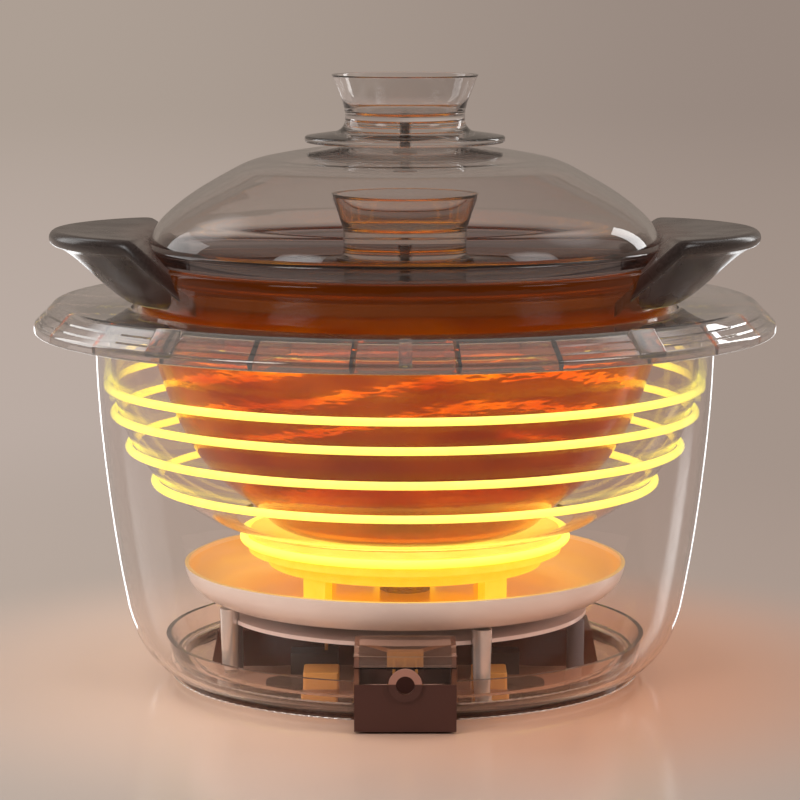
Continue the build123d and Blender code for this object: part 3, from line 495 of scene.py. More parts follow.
class ShaderSheet(NodeSheet):
    """The nodes of a new material with one Principled shader."""

    def __init__(self, name: str) -> None:
        """Make the material.

        Args:
            name: Name of the material.
        """
        self.material = bpy.data.materials.new(name)
        self.material.use_nodes = True
        tree = self.material.node_tree
        tree.nodes.clear()
        super().__init__(tree, tree.nodes.new("ShaderNodeOutputMaterial"))
        self.shader = self.node("BsdfPrincipled")
        self.show(self.shader)

    def set(self, **values: object) -> None:
        """Set the shader's inputs, named with underscores for spaces."""
        self.feed(self.shader, {key.replace("_", " "): value for key, value in values.items()})

    def bump(self, height: Socket, strength: float, depth: float) -> None:
        """Raise the surface by a height.

        Args:
            height: The height, from 0 to 1.
            strength: Share of the effect.
            depth: Height of 1 in metres.
        """
        node = self.node("Bump", {"Height": height, "Strength": strength, "Distance": depth})
        self.set(Normal=node.outputs["Normal"])


@dataclass(frozen=True)
class Finish:
    """A surface finish; each kind adds its own nodes."""

    name: str
    base: Colour
    roughness: float = 0.3

    def dress(self, sheet: ShaderSheet) -> None:
        """Add this kind's nodes to the sheet."""

    def roughen(self, sheet: ShaderSheet, share: Socket, amount: float, span: Pair = (0.3, 0.7)) -> None:
        """Let the roughness rise with a value.

        Args:
            sheet: The material's sheet.
            share: The value.
            amount: How much the roughness rises.
            span: Where in the value it rises.
        """
        sheet.set(Roughness=sheet.spread(share, *span, self.roughness, self.roughness + amount))

    def toned(self, share: float) -> Colour:
        """Give the base colour made brighter or darker by a share."""
        return (*(share * part for part in self.base[:3]), 1.0)

    def material(self) -> bpy.types.Material:
        """Give the finish's material, made on first use.

        Returns:
            The material.
        """
        made = bpy.data.materials.get(self.name)
        if made is None:
            sheet = ShaderSheet(self.name)
            sheet.set(Base_Color=self.base, Roughness=self.roughness)
            self.dress(sheet)
            made = sheet.material
        return made


@dataclass(frozen=True)
class Clear(Finish):
    """Glass or clear plastic, with the faint waviness of a moulded wall."""

    ior: float = 1.45
    waves: float = 14.0
    wave_depth: float = 0.00004
    clearness: float = 1.0
    coat: float = 0.0
    coat_ior: float = 1.8

    def dress(self, sheet: ShaderSheet) -> None:
        """Let the light through, and make the wall a little uneven.

        Args:
            sheet: The material's sheet.
        """
        sheet.set(Transmission_Weight=self.clearness, IOR=self.ior, Coat_Weight=self.coat,
                  Coat_IOR=self.coat_ior)
        drift = sheet.noise(self.waves)
        sheet.bump(drift, 0.35, self.wave_depth)
        self.roughen(sheet, drift, 0.015)


@dataclass(frozen=True)
class RimmedGlass(Clear):
    """Clear glass whose thick rim, below the span of heights, has a grey tint as painted shade of its dark
    refraction.
    """

    painted_rim_shade_span: Pair = (0.1775, 0.1805)
    # painted shade: the rim's grey tint stands in for the dark look of the thick rim's refraction
    rim: Colour = colour(176, 168, 170)

    def dress(self, sheet: ShaderSheet) -> None:
        """Add the rim's grey tint, painted shade, to the clear glass.

        Args:
            sheet: The material's sheet.
        """
        super().dress(sheet)
        share = sheet.spread(sheet.axis(Axis.Z), *self.painted_rim_shade_span)
        sheet.set(Base_Color=sheet.blend(share, self.rim, self.base))


@dataclass(frozen=True)
class Amber(Finish):
    """Amber see-through wall of the pot, brown at its brim and brighter low down, streaked between two tints
    as painted highlights, with a faint painted light of the heater.
    """

    # each pair holds the lighter and the darker tint that the painted highlight streaks run between
    foot: tuple[Colour, Colour] = colour(216, 145, 19), colour(176, 84, 6)
    middle: tuple[Colour, Colour] = colour(254, 197, 45), colour(212, 120, 17)
    brim: tuple[Colour, Colour] = colour(124, 78, 44), colour(104, 60, 32)
    foot_span: Pair = (0.084, 0.118)
    brim_span: Pair = (0.136, 0.160)
    # painted light: a faint amber emission stands in for the heater's light shining through the pot
    painted_heater_glow: Colour = colour(206, 100, 6)
    painted_heater_glow_strength: float = 0.06
    clearness: float = 0.985
    ior: float = 1.32

    def dress(self, sheet: ShaderSheet) -> None:
        """Grade the tint by height, with streaks of painted highlight between two tints and a faint painted
        light of the heater.

        Args:
            sheet: The material's sheet.
        """
        height = sheet.axis(Axis.Z)
        # painted highlights: stretched noise streaks the wall with a lighter tint, standing in for bright
        # refraction streaks
        painted_streaks = sheet.spread(sheet.noise(26, 4.0, (1, 1, 2.2)), 0.35, 0.65)
        foot, middle, brim = (sheet.blend(painted_streaks, *pair) for pair in (self.foot, self.middle, self.brim))
        low = sheet.blend(sheet.spread(height, *self.foot_span), foot, middle)
        # the emission set below is the painted heater light
        sheet.set(Base_Color=sheet.blend(sheet.spread(height, *self.brim_span), low, brim),
                  Transmission_Weight=self.clearness, IOR=self.ior, Emission_Color=self.painted_heater_glow,
                  Emission_Strength=self.painted_heater_glow_strength)
        self.roughen(sheet, painted_streaks, 0.06, (0.0, 1.0))
        sheet.bump(sheet.noise(38, 3.0, (1, 1, 2.6)), 0.5, 0.0006)


@dataclass(frozen=True)
class Glaze(Finish):
    """Dark satin glaze of the ears, warmer and browner where they join the pot."""

    fleck: Colour = colour(50, 42, 40)
    warm: Colour = colour(52, 26, 18)
    warm_span: Pair = (0.104, 0.122)

    def dress(self, sheet: ShaderSheet) -> None:
        """Grade the glaze towards the pot and add its fine speckle.

        Args:
            sheet: The material's sheet.
        """
        radius = sheet.distance((0, 0, 0), (1, 1, 0))
        dark = sheet.blend(sheet.spread(sheet.noise(900), 0.35, 0.7), self.base, self.fleck)
        sheet.set(Base_Color=sheet.blend(sheet.spread(radius, *self.warm_span), self.warm, dark),
                  Coat_Weight=0.15, Coat_Roughness=0.2)
        self.roughen(sheet, sheet.noise(60), 0.1)
        sheet.bump(sheet.noise(90), 0.2, 0.00003)


@dataclass(frozen=True)
class Glow(Finish):
    """A surface that shines by its own heat; the heater plate's shine is its element's light, painted on."""

    shine: Colour = (1.0, 0.9, 0.3, 1.0)
    strength: float = 1.0
    mottle: Colour = colour(255, 226, 120)

    def dress(self, sheet: ShaderSheet) -> None:
        """Shine, over a faintly mottled surface.

        Args:
            sheet: The material's sheet.
        """
        share = sheet.noise(160, 3.0)
        sheet.set(Base_Color=sheet.blend(share, self.base, self.mottle), Emission_Color=self.shine,
                  Emission_Strength=self.strength)
        self.roughen(sheet, share, 0.15)
        sheet.bump(share, 0.2, 0.0001)


@dataclass(frozen=True)
class Enamel(Finish):
    """White enamel, which may have the heat's pale yellow light painted on the side that faces it."""

    # lit paints the heater's pale yellow light into the colour of upward faces; heat is the colour of that
    # painted light
    lit: bool = False
    shade: Colour = colour(226, 204, 196)
    heat: Colour = colour(234, 186, 112)

    def dress(self, sheet: ShaderSheet) -> None:
        """Paint the heater's yellow light on the inside of the dish and leave its outside white.

        Args:
            sheet: The material's sheet.
        """
        tint = sheet.blend(sheet.noise(40, 3.0), self.base, self.shade)
        if self.lit:
            # painted light: faces that look up take the heater's pale yellow
            facing = sheet.node("NewGeometry").outputs["True Normal"]
            upward = sheet.node("SeparateXYZ", {"Vector": facing}).outputs["Z"]
            tint = sheet.blend(sheet.spread(upward, -0.05, 0.3), tint, self.heat)
        sheet.set(Base_Color=tint, Coat_Weight=0.5, Coat_Roughness=0.08)
        sheet.bump(sheet.noise(420), 0.15, 0.00004)


@dataclass(frozen=True)
class Metal(Finish):
    """Turned, polished or plated metal."""

    brush: Triple = (1, 1, 12)
    marks: float = 260.0
    metal: float = 1.0
    stain: float = 0.82

    def dress(self, sheet: ShaderSheet) -> None:
        """Give the metal its brush marks and a faint stain.

        Args:
            sheet: The material's sheet.
        """
        grain = sheet.noise(self.marks, 3.0, self.brush)
        tint = sheet.blend(sheet.noise(70), self.base, self.toned(self.stain))
        sheet.set(Base_Color=tint, Metallic=self.metal)
        self.roughen(sheet, grain, 0.14)
        sheet.bump(grain, 0.2, 0.00003)


@dataclass(frozen=True)
class Moulded(Finish):
    """Opaque moulded plastic or rubber with a fine spark-eroded grain."""

    grain: float = 1500.0
    depth: float = 0.00006
    lighter: float = 1.25

    def dress(self, sheet: ShaderSheet) -> None:
        """Give the surface its grain and a slight unevenness of tone.

        Args:
            sheet: The material's sheet.
        """
        share = sheet.noise(55, 3.0)
        sheet.set(Base_Color=sheet.blend(share, self.base, self.toned(self.lighter)))
        self.roughen(sheet, share, 0.12)
        sheet.bump(sheet.noise(self.grain, 1.0), 0.5, self.depth)


@dataclass(frozen=True)
class Grommet(Moulded):
    """Dark rubber whose upper half, above the seam and under the clear hood, is pale."""

    seam: Pair = (0.0193, 0.0197)
    pale: Colour = colour(156, 112, 98)

    def dress(self, sheet: ShaderSheet) -> None:
        """Split the colour at the seam.

        Args:
            sheet: The material's sheet.
        """
        super().dress(sheet)
        share = sheet.spread(sheet.axis(Axis.Z), *self.seam)
        sheet.set(Base_Color=sheet.blend(share, self.base, self.pale))


@dataclass(frozen=True)
class Board(Finish):
    """Circuit board: lacquer over copper tracks, with small solder pads."""

    copper: Colour = colour(96, 66, 36)
    solder: Colour = colour(206, 160, 96)
    pads: float = 150.0

    def dress(self, sheet: ShaderSheet) -> None:
        """Cloud the lacquer over the copper and set the pads as dots.

        Args:
            sheet: The material's sheet.
        """
        inputs = {"Vector": sheet.stretched((1, 1, 0.2)), "Scale": self.pads}
        cells = sheet.node("TexVoronoi", inputs, distance="CHEBYCHEV")
        pads = sheet.spread(cells.outputs["Distance"], 0.16, 0.2, 1.0, 0.0)
        lacquer = sheet.blend(sheet.noise(90, 4.0), self.base, self.copper)
        sheet.set(Base_Color=sheet.blend(pads, lacquer, self.solder), Coat_Weight=0.4, Coat_Roughness=0.15)
        sheet.bump(pads, 0.4, 0.0002)


CLEAR_SHELL = Clear("clear shell plastic", colour(250, 246, 244), 0.0, 1.3, 9.0, 0.00003)
CLEAR_RING = Clear("clear ring plastic", colour(240, 237, 237), 0.0, 1.5, 60.0, 0.00012, 0.975, 0.8)
CLEAR_TRAY = Clear("clear tray plastic", colour(252, 242, 235), 0.01, 1.4, 40.0, 0.00008)
SMOKED = Clear("smoked plastic", colour(104, 50, 30), 0.25, 1.25, 60.0, 0.0001, 0.5)
HOOD_SMOKED = Clear("smoked hood plastic", colour(246, 222, 208), 0.01, 1.4, 60.0, 0.00006)
SMOKED_DARK = Clear("smoked ring plastic", colour(96, 72, 62), 0.04, 1.45, 160.0, 0.0003, 0.9)
LID_GLASS = Clear("lid glass", colour(243, 241, 240), 0.0, 1.47, 7.0, 0.00002)
DOME_GLASS = RimmedGlass("domed lid glass", colour(243, 241, 240), 0.0, 1.47, 7.0, 0.00002)
KNURL = Clear("foot ring knurl", colour(255, 246, 240), 0.0, 1.6, 60.0, 0.00001, 0.8, 1.0)
TUBE_GLASS = Clear("coil tube glass", colour(255, 252, 236), 0.0, 1.25, 60.0, 0.00001)
LINER_GLASS = Clear("liner glass", colour(252, 244, 240), 0.0, 1.2, 9.0, 0.00002)
WINDOW_GLASS = Clear("display window", colour(90, 80, 80), 0.03, 1.45)
AMBER = Amber("amber pot wall", colour(220, 120, 50), 0.04)
GLAZE = Glaze("dark ear glaze", colour(40, 33, 31), 0.2)
COIL_GLOW = Glow("glowing coil", colour(200, 176, 60), 0.5, colour(255, 252, 116), 1.15)
ELEMENT_GLOW = Glow("glowing plate element", colour(255, 236, 110), 0.4, colour(255, 240, 76), 1.0)
# painted light: the heater plate glows with its element's light, though it is no lamp
PLATE_PAINTED_GLOW = Glow("heater plate lit by its element", colour(240, 190, 50), 0.45, colour(255, 206, 24), 0.55)
# the dish's inside has the heater's light painted on
DISH_ENAMEL = Enamel("dish enamel", colour(252, 242, 234), 0.3, lit=True)
SHIELD_ENAMEL = Enamel("shield enamel", colour(240, 220, 212), 0.3)
CERAMIC = Enamel("steatite", colour(236, 226, 212), 0.5)
CHROME = Metal("pillar chrome", colour(240, 234, 230), 0.1, metal=0.65)
STEEL = Metal("turned steel", colour(176, 170, 168), 0.22)
BRASS = Metal("terminal brass", colour(226, 170, 96), 0.3, metal=0.4)
POST_PLASTIC = Moulded("post plastic", colour(96, 90, 94), 0.4)
BOX_PLASTIC = Moulded("box plastic", colour(66, 36, 30), 0.42)
RELAY_PLASTIC = Moulded("relay plastic", colour(52, 40, 38), 0.35)
BUTTON_PLASTIC = Moulded("button plastic", colour(214, 206, 200), 0.35)
RUBBER = Moulded("foot rubber", colour(44, 34, 30), 0.7, 900.0, 0.0001)
GROMMET = Grommet("grommet rubber", colour(70, 40, 34), 0.5, 900.0, 0.0001)
EPOXY = Moulded("capacitor epoxy", colour(206, 146, 76), 0.3, 300.0, 0.0001)
BOARD = Board("circuit board", colour(70, 46, 26), 0.35)


def dress(piece: Piece, finish: Finish) -> None:
    """Give a piece its finish, and let light pass a clear one so that what is inside it is lit.

    Args:
        piece: The piece.
        finish: Its finish.
    """
    piece.data.materials.clear()
    piece.data.materials.append(finish.material())
    if isinstance(finish, (Clear, Amber)):
        piece.visible_shadow = piece.visible_diffuse = False


def finish_piece(piece: Piece, finish: Finish, slot: Slot, body: Body, *nodes: str) -> None:
    """Dress a new piece, tie it to its body, and hide the CAD nodes that it stands for.

    Args:
        piece: The piece.
        finish: Its finish.
        slot: The record's material slot; not used.
        body: The CAD body it rides on.
        nodes: CAD nodes that it replaces.
    """
    dress(piece, finish)
    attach(piece, body.value)
    if nodes:
        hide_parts(*nodes)
    LOG.info("piece %s on %s: %d faces", piece.name, body.value, len(piece.data.polygons))


def dress_nodes(frame: dict, finishes: dict[str, Finish], sharp: float = 30.0) -> None:
    """Give CAD nodes their finishes and smooth shading between their triangles.

    Args:
        frame: The loaded frame.
        finishes: The finish of each node, by name.
        sharp: Angle in degrees past which an edge stays sharp.
    """
    for name, finish in finishes.items():
        node = frame["nodes"][name]
        dress(node, finish)
        shade_smooth(node.data)
        node.modifiers.new("weld", "WELD").merge_threshold = WELD_DISTANCE
        node.modifiers.new("sharp edges", "EDGE_SPLIT").split_angle = math.radians(sharp)
        LOG.info("node %s: %s", name, finish.name)


# Sub-assemblies


@dataclass
class Pot:
    """The pot: an amber see-through bowl and two dark scooped ears."""

    base_radius: float = 45.0
    bottom: float = 58.8
    wall: float = 4.5
    outline: tuple[Pair, ...] = ((45.0, 58.8), (66.0, 73.5), (83.5, 90.5), (96.5, 116.0), (107.3, 158.0))
    rim_radius: float = 109.3
    rim_foot: float = 165.0
    rim_foot_round: float = 3.0
    rim_top: float = 170.4
    rim_round: float = 1.6
    mouth_radius: float = 100.3
    ledge_radius: float = 95.0
    ledge_height: float = 165.2
    ledge_thickness: float = 2.0
    ledge_corner_round: float = 0.8
    ledge_round: float = 0.9
    ear_root: float = 105.8
    ear_sunk: float = 2.0
    ear_centre: float = 80.0
    ear_reach: float = 64.0
    ear_top: float = 183.0
    ear_scoop: float = 2.2
    ear_crest_blend: float = 1.5
    ear_lip: float = 6.5
    ear_foot: float = 155.2
    ear_foot_reach: float = 33.0
    ear_foot_width: float = 58.0
    ear_thinnest: float = 4.0
    ear_line: float = 106.8
    ear_line_foot: float = 92.0
    ear_spread: float = 40.0
    ear_blend: float = 2.0
    ear_straight: float = 0.6
    ear_crowding: float = 0.8
    ear_sharp: float = 85.0

    def bowl(self) -> Piece:
        """Turn the bowl: outer curve, rounded rim with its ledge, and the curve moved in by the wall.

        Returns:
            The bowl.
        """
        outer = smooth_profile(self.outline, (1, 0), (0.04, 1), 10)
        inner = moved_in(outer, self.wall)[::-1]
        inner[-1, 0] = self.base_radius
        rim = rounded([
            (*outer[-1], 0), (self.rim_radius, self.rim_foot, self.rim_foot_round),
            (self.rim_radius, self.rim_top, self.rim_round),
            (self.mouth_radius, self.rim_top, self.rim_round),
            (self.mouth_radius, self.ledge_height, self.ledge_corner_round),
            (self.ledge_radius, self.ledge_height, self.ledge_round),
            (self.ledge_radius, self.ledge_height - self.ledge_thickness, self.ledge_round), (*inner[0], 0),
        ], 5)
        below, above = [[0.0, self.bottom]], [[0.0, self.bottom + self.wall]]
        return turned("pot_bowl", np.vstack([below, outer[:-1], rim, inner[1:], above]), closed=False)

    def ear(self, side: int) -> Piece:
        """Shape one ear on a grid of direction round the pot's axis and place round its section.

        In each direction the section runs out along the scooped top, round the lip and back along the
        underside, with both ends inside the pot's wall. The ear reaches out to a circle round its own
        centre, which is blended into the pot's circle: the softened greater of a and b is
        (a + b + sqrt((a - b)^2 + s^2)) / 2. The underside falls from the lip to the pot in an S curve.

        Args:
            side: 1 for the ear towards +X, -1 for the other.

        Returns:
            The ear.
        """
        turn = np.radians(np.linspace(-self.ear_spread, self.ear_spread, 141))[:, None]
        off_axis = np.minimum(np.abs(self.ear_centre * np.sin(turn)), self.ear_reach)
        circle = self.ear_centre * np.cos(turn) + np.sqrt(self.ear_reach**2 - off_axis**2)
        root = self.ear_root
        edge = (circle + root + np.sqrt((circle - root) ** 2 + self.ear_blend**2)) / 2
        lip = np.minimum(self.ear_lip / 2, edge - root)
        start = root - self.ear_sunk
        out = np.linspace(0, 1, 28)[None] ** self.ear_crowding
        run = edge - lip - start
        reach = start + run * out
        top = self.top_height(reach, turn)
        edge_top = top[:, -1:]
        arc = np.linspace(0, math.pi, 14)[None, 1:-1]
        lip_reach = edge - lip + lip * np.sin(arc)
        lip_height = edge_top - self.ear_lip / 2 * (1 - np.cos(arc))
        under_reach = start + run * (1 - out)
        sideways = under_reach * np.sin(turn) * self.ear_foot_reach / self.ear_foot_width
        from_centre = np.hypot(under_reach * np.cos(turn) - self.ear_centre, sideways)
        lip_from_centre = np.maximum(from_centre[:, :1], self.ear_foot_reach + 1)
        fall = np.clip((from_centre - self.ear_foot_reach) / (lip_from_centre - self.ear_foot_reach), 0, 1)
        eased = self.ear_straight * fall + (1 - self.ear_straight) * fall**2 * (3 - 2 * fall)
        under_top = edge_top - self.ear_lip
        foot = np.minimum(self.ear_foot, under_top - self.ear_thinnest)
        under = foot + (under_top - foot) * eased
        radius = np.concatenate([reach, lip_reach, under_reach], axis=1)
        height = np.concatenate([top, lip_height, under], axis=1)
        points = round_axis(radius, turn, height) * (side, 1, 1)
        name = "pot_ear_right" if side > 0 else "pot_ear_left"
        return piece_from(name, points.reshape(-1, 3), grid_faces(*height.shape, False, True), self.ear_sharp)

    def top_height(self, radius: np.ndarray, turn: np.ndarray) -> np.ndarray:
        """Give the ear's top: the lesser of a shallow scoop and a slope that rises from the pot's rim.

        The scoop is ear_top - ear_scoop * (1 - (reach / ear_reach)^2), with the reach taken from the ear's
        own centre. The slope rises from the rim's height at ear_line_foot to the ear's top at ear_line. The
        two meet in a soft edge: the softened lesser of a and b is (a + b - sqrt((a - b)^2 + s)) / 2.

        Args:
            radius: Distance from the pot's axis.
            turn: Direction round the pot's axis.

        Returns:
            The height of the top.
        """
        across = radius * np.cos(turn)
        reach = np.hypot(across - self.ear_centre, radius * np.sin(turn))
        scoop = self.ear_top - self.ear_scoop * (1 - (reach / self.ear_reach) ** 2)
        rise = (self.ear_top - self.rim_top) / (self.ear_line - self.ear_line_foot)
        slope = self.rim_top + (across - self.ear_line_foot) * rise
        return (scoop + slope - np.sqrt((scoop - slope) ** 2 + self.ear_crest_blend)) / 2

    def build(self) -> None:
        """Make the bowl and the ears in place of the CAD pot."""
        finish_piece(self.bowl(), AMBER, Slot.POT_GLAZE, Body.POT, "pot")
        for side in (-1, 1):
            finish_piece(self.ear(side), GLAZE, Slot.POT_GLAZE, Body.POT)


@dataclass
class CupKnob:
    """A clear cup-shaped knob: a foot, a narrow neck and a flared cup with a thick floor."""

    name: str
    body: Body
    bottom: float
    foot: tuple[Triple, ...]
    waist: Pair
    mouth_radius: float
    height: float
    floor: float
    wall: float = 2.0
    lip_round: float = 0.5
    floor_round: float = 3.0
    screw_radius: float = 2.1
    screw_depth: float = 8.0

    def build(self) -> None:
        """Turn the knob: foot, neck and flare outside, the cup inside, and the screw's hole below."""
        foot = rounded(self.foot, 5)
        neck = smooth_profile([tuple(foot[-1]), self.waist], (-1, 0.16), (0, 1), 8)
        flare = smooth_profile([self.waist, (self.mouth_radius, self.height)], (0, 1), (0.4, 1), 8)
        cup = rounded([
            (self.mouth_radius + 0.1, self.height + 0.001, 0),
            (self.mouth_radius - self.wall, self.height, self.lip_round),
            (self.waist[0] - self.wall, self.floor, self.floor_round), (0.0, self.floor, 0),
        ], 5)[1:]
        depth = self.screw_depth
        hole = [[0.0, depth], [self.screw_radius, depth], [self.screw_radius, 0.0]]
        profile = np.vstack([hole, foot[:-1], neck[:-1], flare, cup])
        profile[:, 1] += self.bottom
        knob = turned(self.name + "_glass", profile, closed=False, sharp=35)
        finish_piece(knob, LID_GLASS, Slot.LID_GLASS, self.body, self.name)


@dataclass
class Lids:
    """The flat inner lid and the domed outer lid, each with its knob and screw."""

    bottom: float = 170.7
    rim_radius: float = 106.0
    rim_height: float = 5.9
    rim_inner_radius: float = 101.4
    rim_inner_height: float = 4.0
    rim_rounds: tuple[float, ...] = (2.0, 1.2, 1.4, 2.0)
    dome: tuple[Pair, ...] = ((103.5, 178.1), (97.3, 188.1), (79.7, 201.1), (56.6, 211.7), (2.2, 217.3))
    wall: float = 3.0
    hole: float = 2.2
    hole_round: float = 0.3
    flat_radius: float = 99.9
    flat_bottom: float = 165.5
    flat_thickness: float = 5.5
    flat_lower_round: float = 1.2
    flat_upper_round: float = 1.8
    steps: int = 224

    def dome_piece(self) -> Piece:
        """Turn the dome: its outer curve, the curve moved in by the wall, and a thick rounded rim.

        Returns:
            The dome.
        """
        outer = smooth_profile(self.dome, (-0.3, 1), (-1, 0), 12)
        inner = moved_in(outer, self.wall)[::-1]
        inner[0, 0] = self.hole
        radii = self.rim_inner_radius, self.rim_inner_radius, self.rim_radius, self.rim_radius
        heights = self.bottom + np.array([self.rim_inner_height, 0.0, 0.0, self.rim_height])
        rim = rounded([(*inner[-1], 0), *zip(radii, heights, self.rim_rounds), (*outer[0], 0)], 5)
        return turned("outer_lid_glass", np.vstack([outer, inner[:-1], rim[:-1]]), steps=self.steps)

    def flat_piece(self) -> Piece:
        """Turn the flat inner lid with its rounded edge.

        Returns:
            The lid.
        """
        top = self.flat_bottom + self.flat_thickness
        loop = rounded([
            (self.hole, self.flat_bottom, self.hole_round),
            (self.flat_radius, self.flat_bottom, self.flat_lower_round),
            (self.flat_radius, top, self.flat_upper_round), (self.hole, top, self.hole_round),
        ], 5, closed=True)
        return turned("inner_lid_glass", loop, steps=self.steps)

    def build(self, frame: dict) -> None:
        """Make both lids and dress their screws.

        Args:
            frame: The loaded frame.
        """
        finish_piece(self.dome_piece(), DOME_GLASS, Slot.LID_GLASS, Body.OUTER_LID, "outer_lid")
        finish_piece(self.flat_piece(), LID_GLASS, Slot.LID_GLASS, Body.INNER_LID, "inner_lid")
        CupKnob(
            "outer_knob", Body.OUTER_LID, bottom=217.5, waist=(24.2, 9.4), mouth_radius=29.6, height=27.2,
            foot=((2.1, 0.0, 0), (40.5, 0.0, 1.1), (40.5, 2.6, 1.1), (38.0, 3.0, 0)), floor=11.0,
        ).build()
        CupKnob(
            "inner_knob", Body.INNER_LID, bottom=171.2, waist=(24.8, 7.4), mouth_radius=29.8, height=24.8,
            foot=((2.1, 0.0, 0), (28.0, 0.0, 0.8), (27.6, 1.0, 0)), floor=11.5,
        ).build()
        dress_nodes(frame, dict.fromkeys(("outer_knob_screw", "inner_knob_screw"), STEEL))


@dataclass
class RimRing:
    """The clear ring round the base's mouth: a soft skin over open pockets, ribs between them, and clips."""

    radius: float = 150.0
    wall: float = 2.5
    bottom: float = 142.2
    edge_height: float = 146.0
    crest: Pair = (141.6, 154.3)
    mouth: Pair = (110.6, 152.5)
    skirt: float = 140.0
    ribs: int = 24
    rib_half: float = 0.24
    draft: float = 0.2
    clip_rise: float = 1.2
    groove_step: float = 0.7
    groove_shares: Pair = (0.38, 0.70)
    groove_round: float = 0.25
    mouth_flat: float = 4.0
    clips: tuple[Pair, ...] = (
        (90.0, 4.8), (-90.0, 4.8), (52.0, 13.0), (-52.0, 13.0), (128.0, 13.0), (-128.0, 13.0),
    )
    clip_fullness: tuple[float, ...] = (0.0, 0.7, 0.94, 1.0, 1.0, 1.0, 0.94, 0.7, 0.0)
    clip_places: tuple[float, ...] = (-0.5, -0.5, -0.47, -0.42, 0.0, 0.42, 0.47, 0.5, 0.5)
    sharp: float = 35.0

    def skin(self) -> np.ndarray:
        """Give the outside of the section, from the foot of the skirt over the crest to the edge's foot.

        Returns:
            Rows of radius and height.
        """
        grooves = [corner for share in self.groove_shares for corner in self.groove(share)]
        return rounded([
            (self.mouth[0] + self.wall, self.skirt, 0), (self.mouth[0], self.skirt, 0.6), (*self.mouth, 1.6),
            (self.mouth[0] + self.mouth_flat, self.mouth[1] + 0.1, 3), (*self.crest, 4.0), *grooves,
            (self.radius, self.edge_height, 2.2), (self.radius, self.bottom, 0.9),
            (self.radius - self.wall, self.bottom, 0),
        ], 5)

    def groove(self, share: float) -> tuple[Triple, ...]:
        """Give the corners of a fine step in the outer slope.

        Args:
            share: Place on the slope, from the crest to the edge.

        Returns:
            Its two corners.
        """
        radius = self.crest[0] + (self.radius - self.crest[0]) * share
        height = self.crest[1] + (self.edge_height - self.crest[1]) * share
        step, corner_round = self.groove_step, self.groove_round
        return (radius, height, corner_round), (radius + step / 2, height - step, corner_round)

    def hollow(self) -> np.ndarray:
        """Give the ceiling of a pocket, from the edge's foot back to the skirt.

        Returns:
            Rows of radius and height.
        """
        inner, outer = self.mouth[0] + self.wall, self.radius - self.wall
        return rounded([
            (outer, self.bottom, 0), (outer, self.edge_height - 1.2, 1.5),
            (self.crest[0] - 1.2, self.crest[1] - self.wall, 2.5), (inner, self.mouth[1] - self.wall, 1.5),
            (inner, self.bottom, 0),
        ], 4)

    def body(self) -> Piece:
        """Sweep the section round the axis; inside a rib the pocket's ceiling drops to the ring's bottom.

        Returns:
            The ring.
        """
        skin, hollow = self.skin(), self.hollow()
        pitch = 360 / self.ribs
        edge = self.rib_half + self.draft
        span = np.linspace(edge, pitch - edge, 11)
        one_pitch = np.concatenate([[-self.rib_half, self.rib_half], span])
        in_rib = np.concatenate([[True, True], np.zeros(len(span), bool)])
        angle = np.radians(np.concatenate([one_pitch + (k + 0.5) * pitch for k in range(self.ribs)]))
        solid = np.tile(in_rib, self.ribs)[:, None, None]
        filled = np.column_stack([hollow[:, 0], np.full(len(hollow), self.bottom)])
        under = np.where(solid, filled[None], hollow[None])
        sections = np.concatenate([np.broadcast_to(skin, (len(angle), *skin.shape)), under[:, 1:]], axis=1)
        return swept("rim_ring_body", sections, angle, True, self.sharp)

    def clip(self, number: int, middle: float, width: float) -> Piece:
        """Lay one clip on the outer slope: a rounded section carried along an arc and drawn in at its ends.

        Args:
            number: Its number, for the name.
            middle: Its direction in degrees.
            width: Its width along the crest.

        Returns:
            The clip.
        """
        crest, height, rise = *self.crest, self.clip_rise
        loop = rounded([
            (crest - 1.6, height - 0.8, 0.4), (crest + rise, height + rise / 2, 0.7),
            (self.radius - 0.05, self.edge_height + 0.3, 0.9),
            (self.radius - 1.2, self.edge_height - 1.9, 0.4),
        ], 4, closed=True)
        core = loop.mean(axis=0)
        share = np.array(self.clip_fullness)[:, None, None]
        angle = np.radians(middle + math.degrees(width / crest) * np.array(self.clip_places))
        return swept(f"rim_ring_clip_{number}", core + (loop[None] - core) * share, angle, False, self.sharp)

    def build(self) -> None:
        """Make the ring and its clips in place of the CAD ring."""
        finish_piece(self.body(), CLEAR_RING, Slot.CLEAR_RING, Body.BASE, "rim_ring")
        for number, (middle, width) in enumerate(self.clips, 1):
            finish_piece(self.clip(number, middle, width), CLEAR_RING, Slot.CLEAR_RING, Body.BASE)


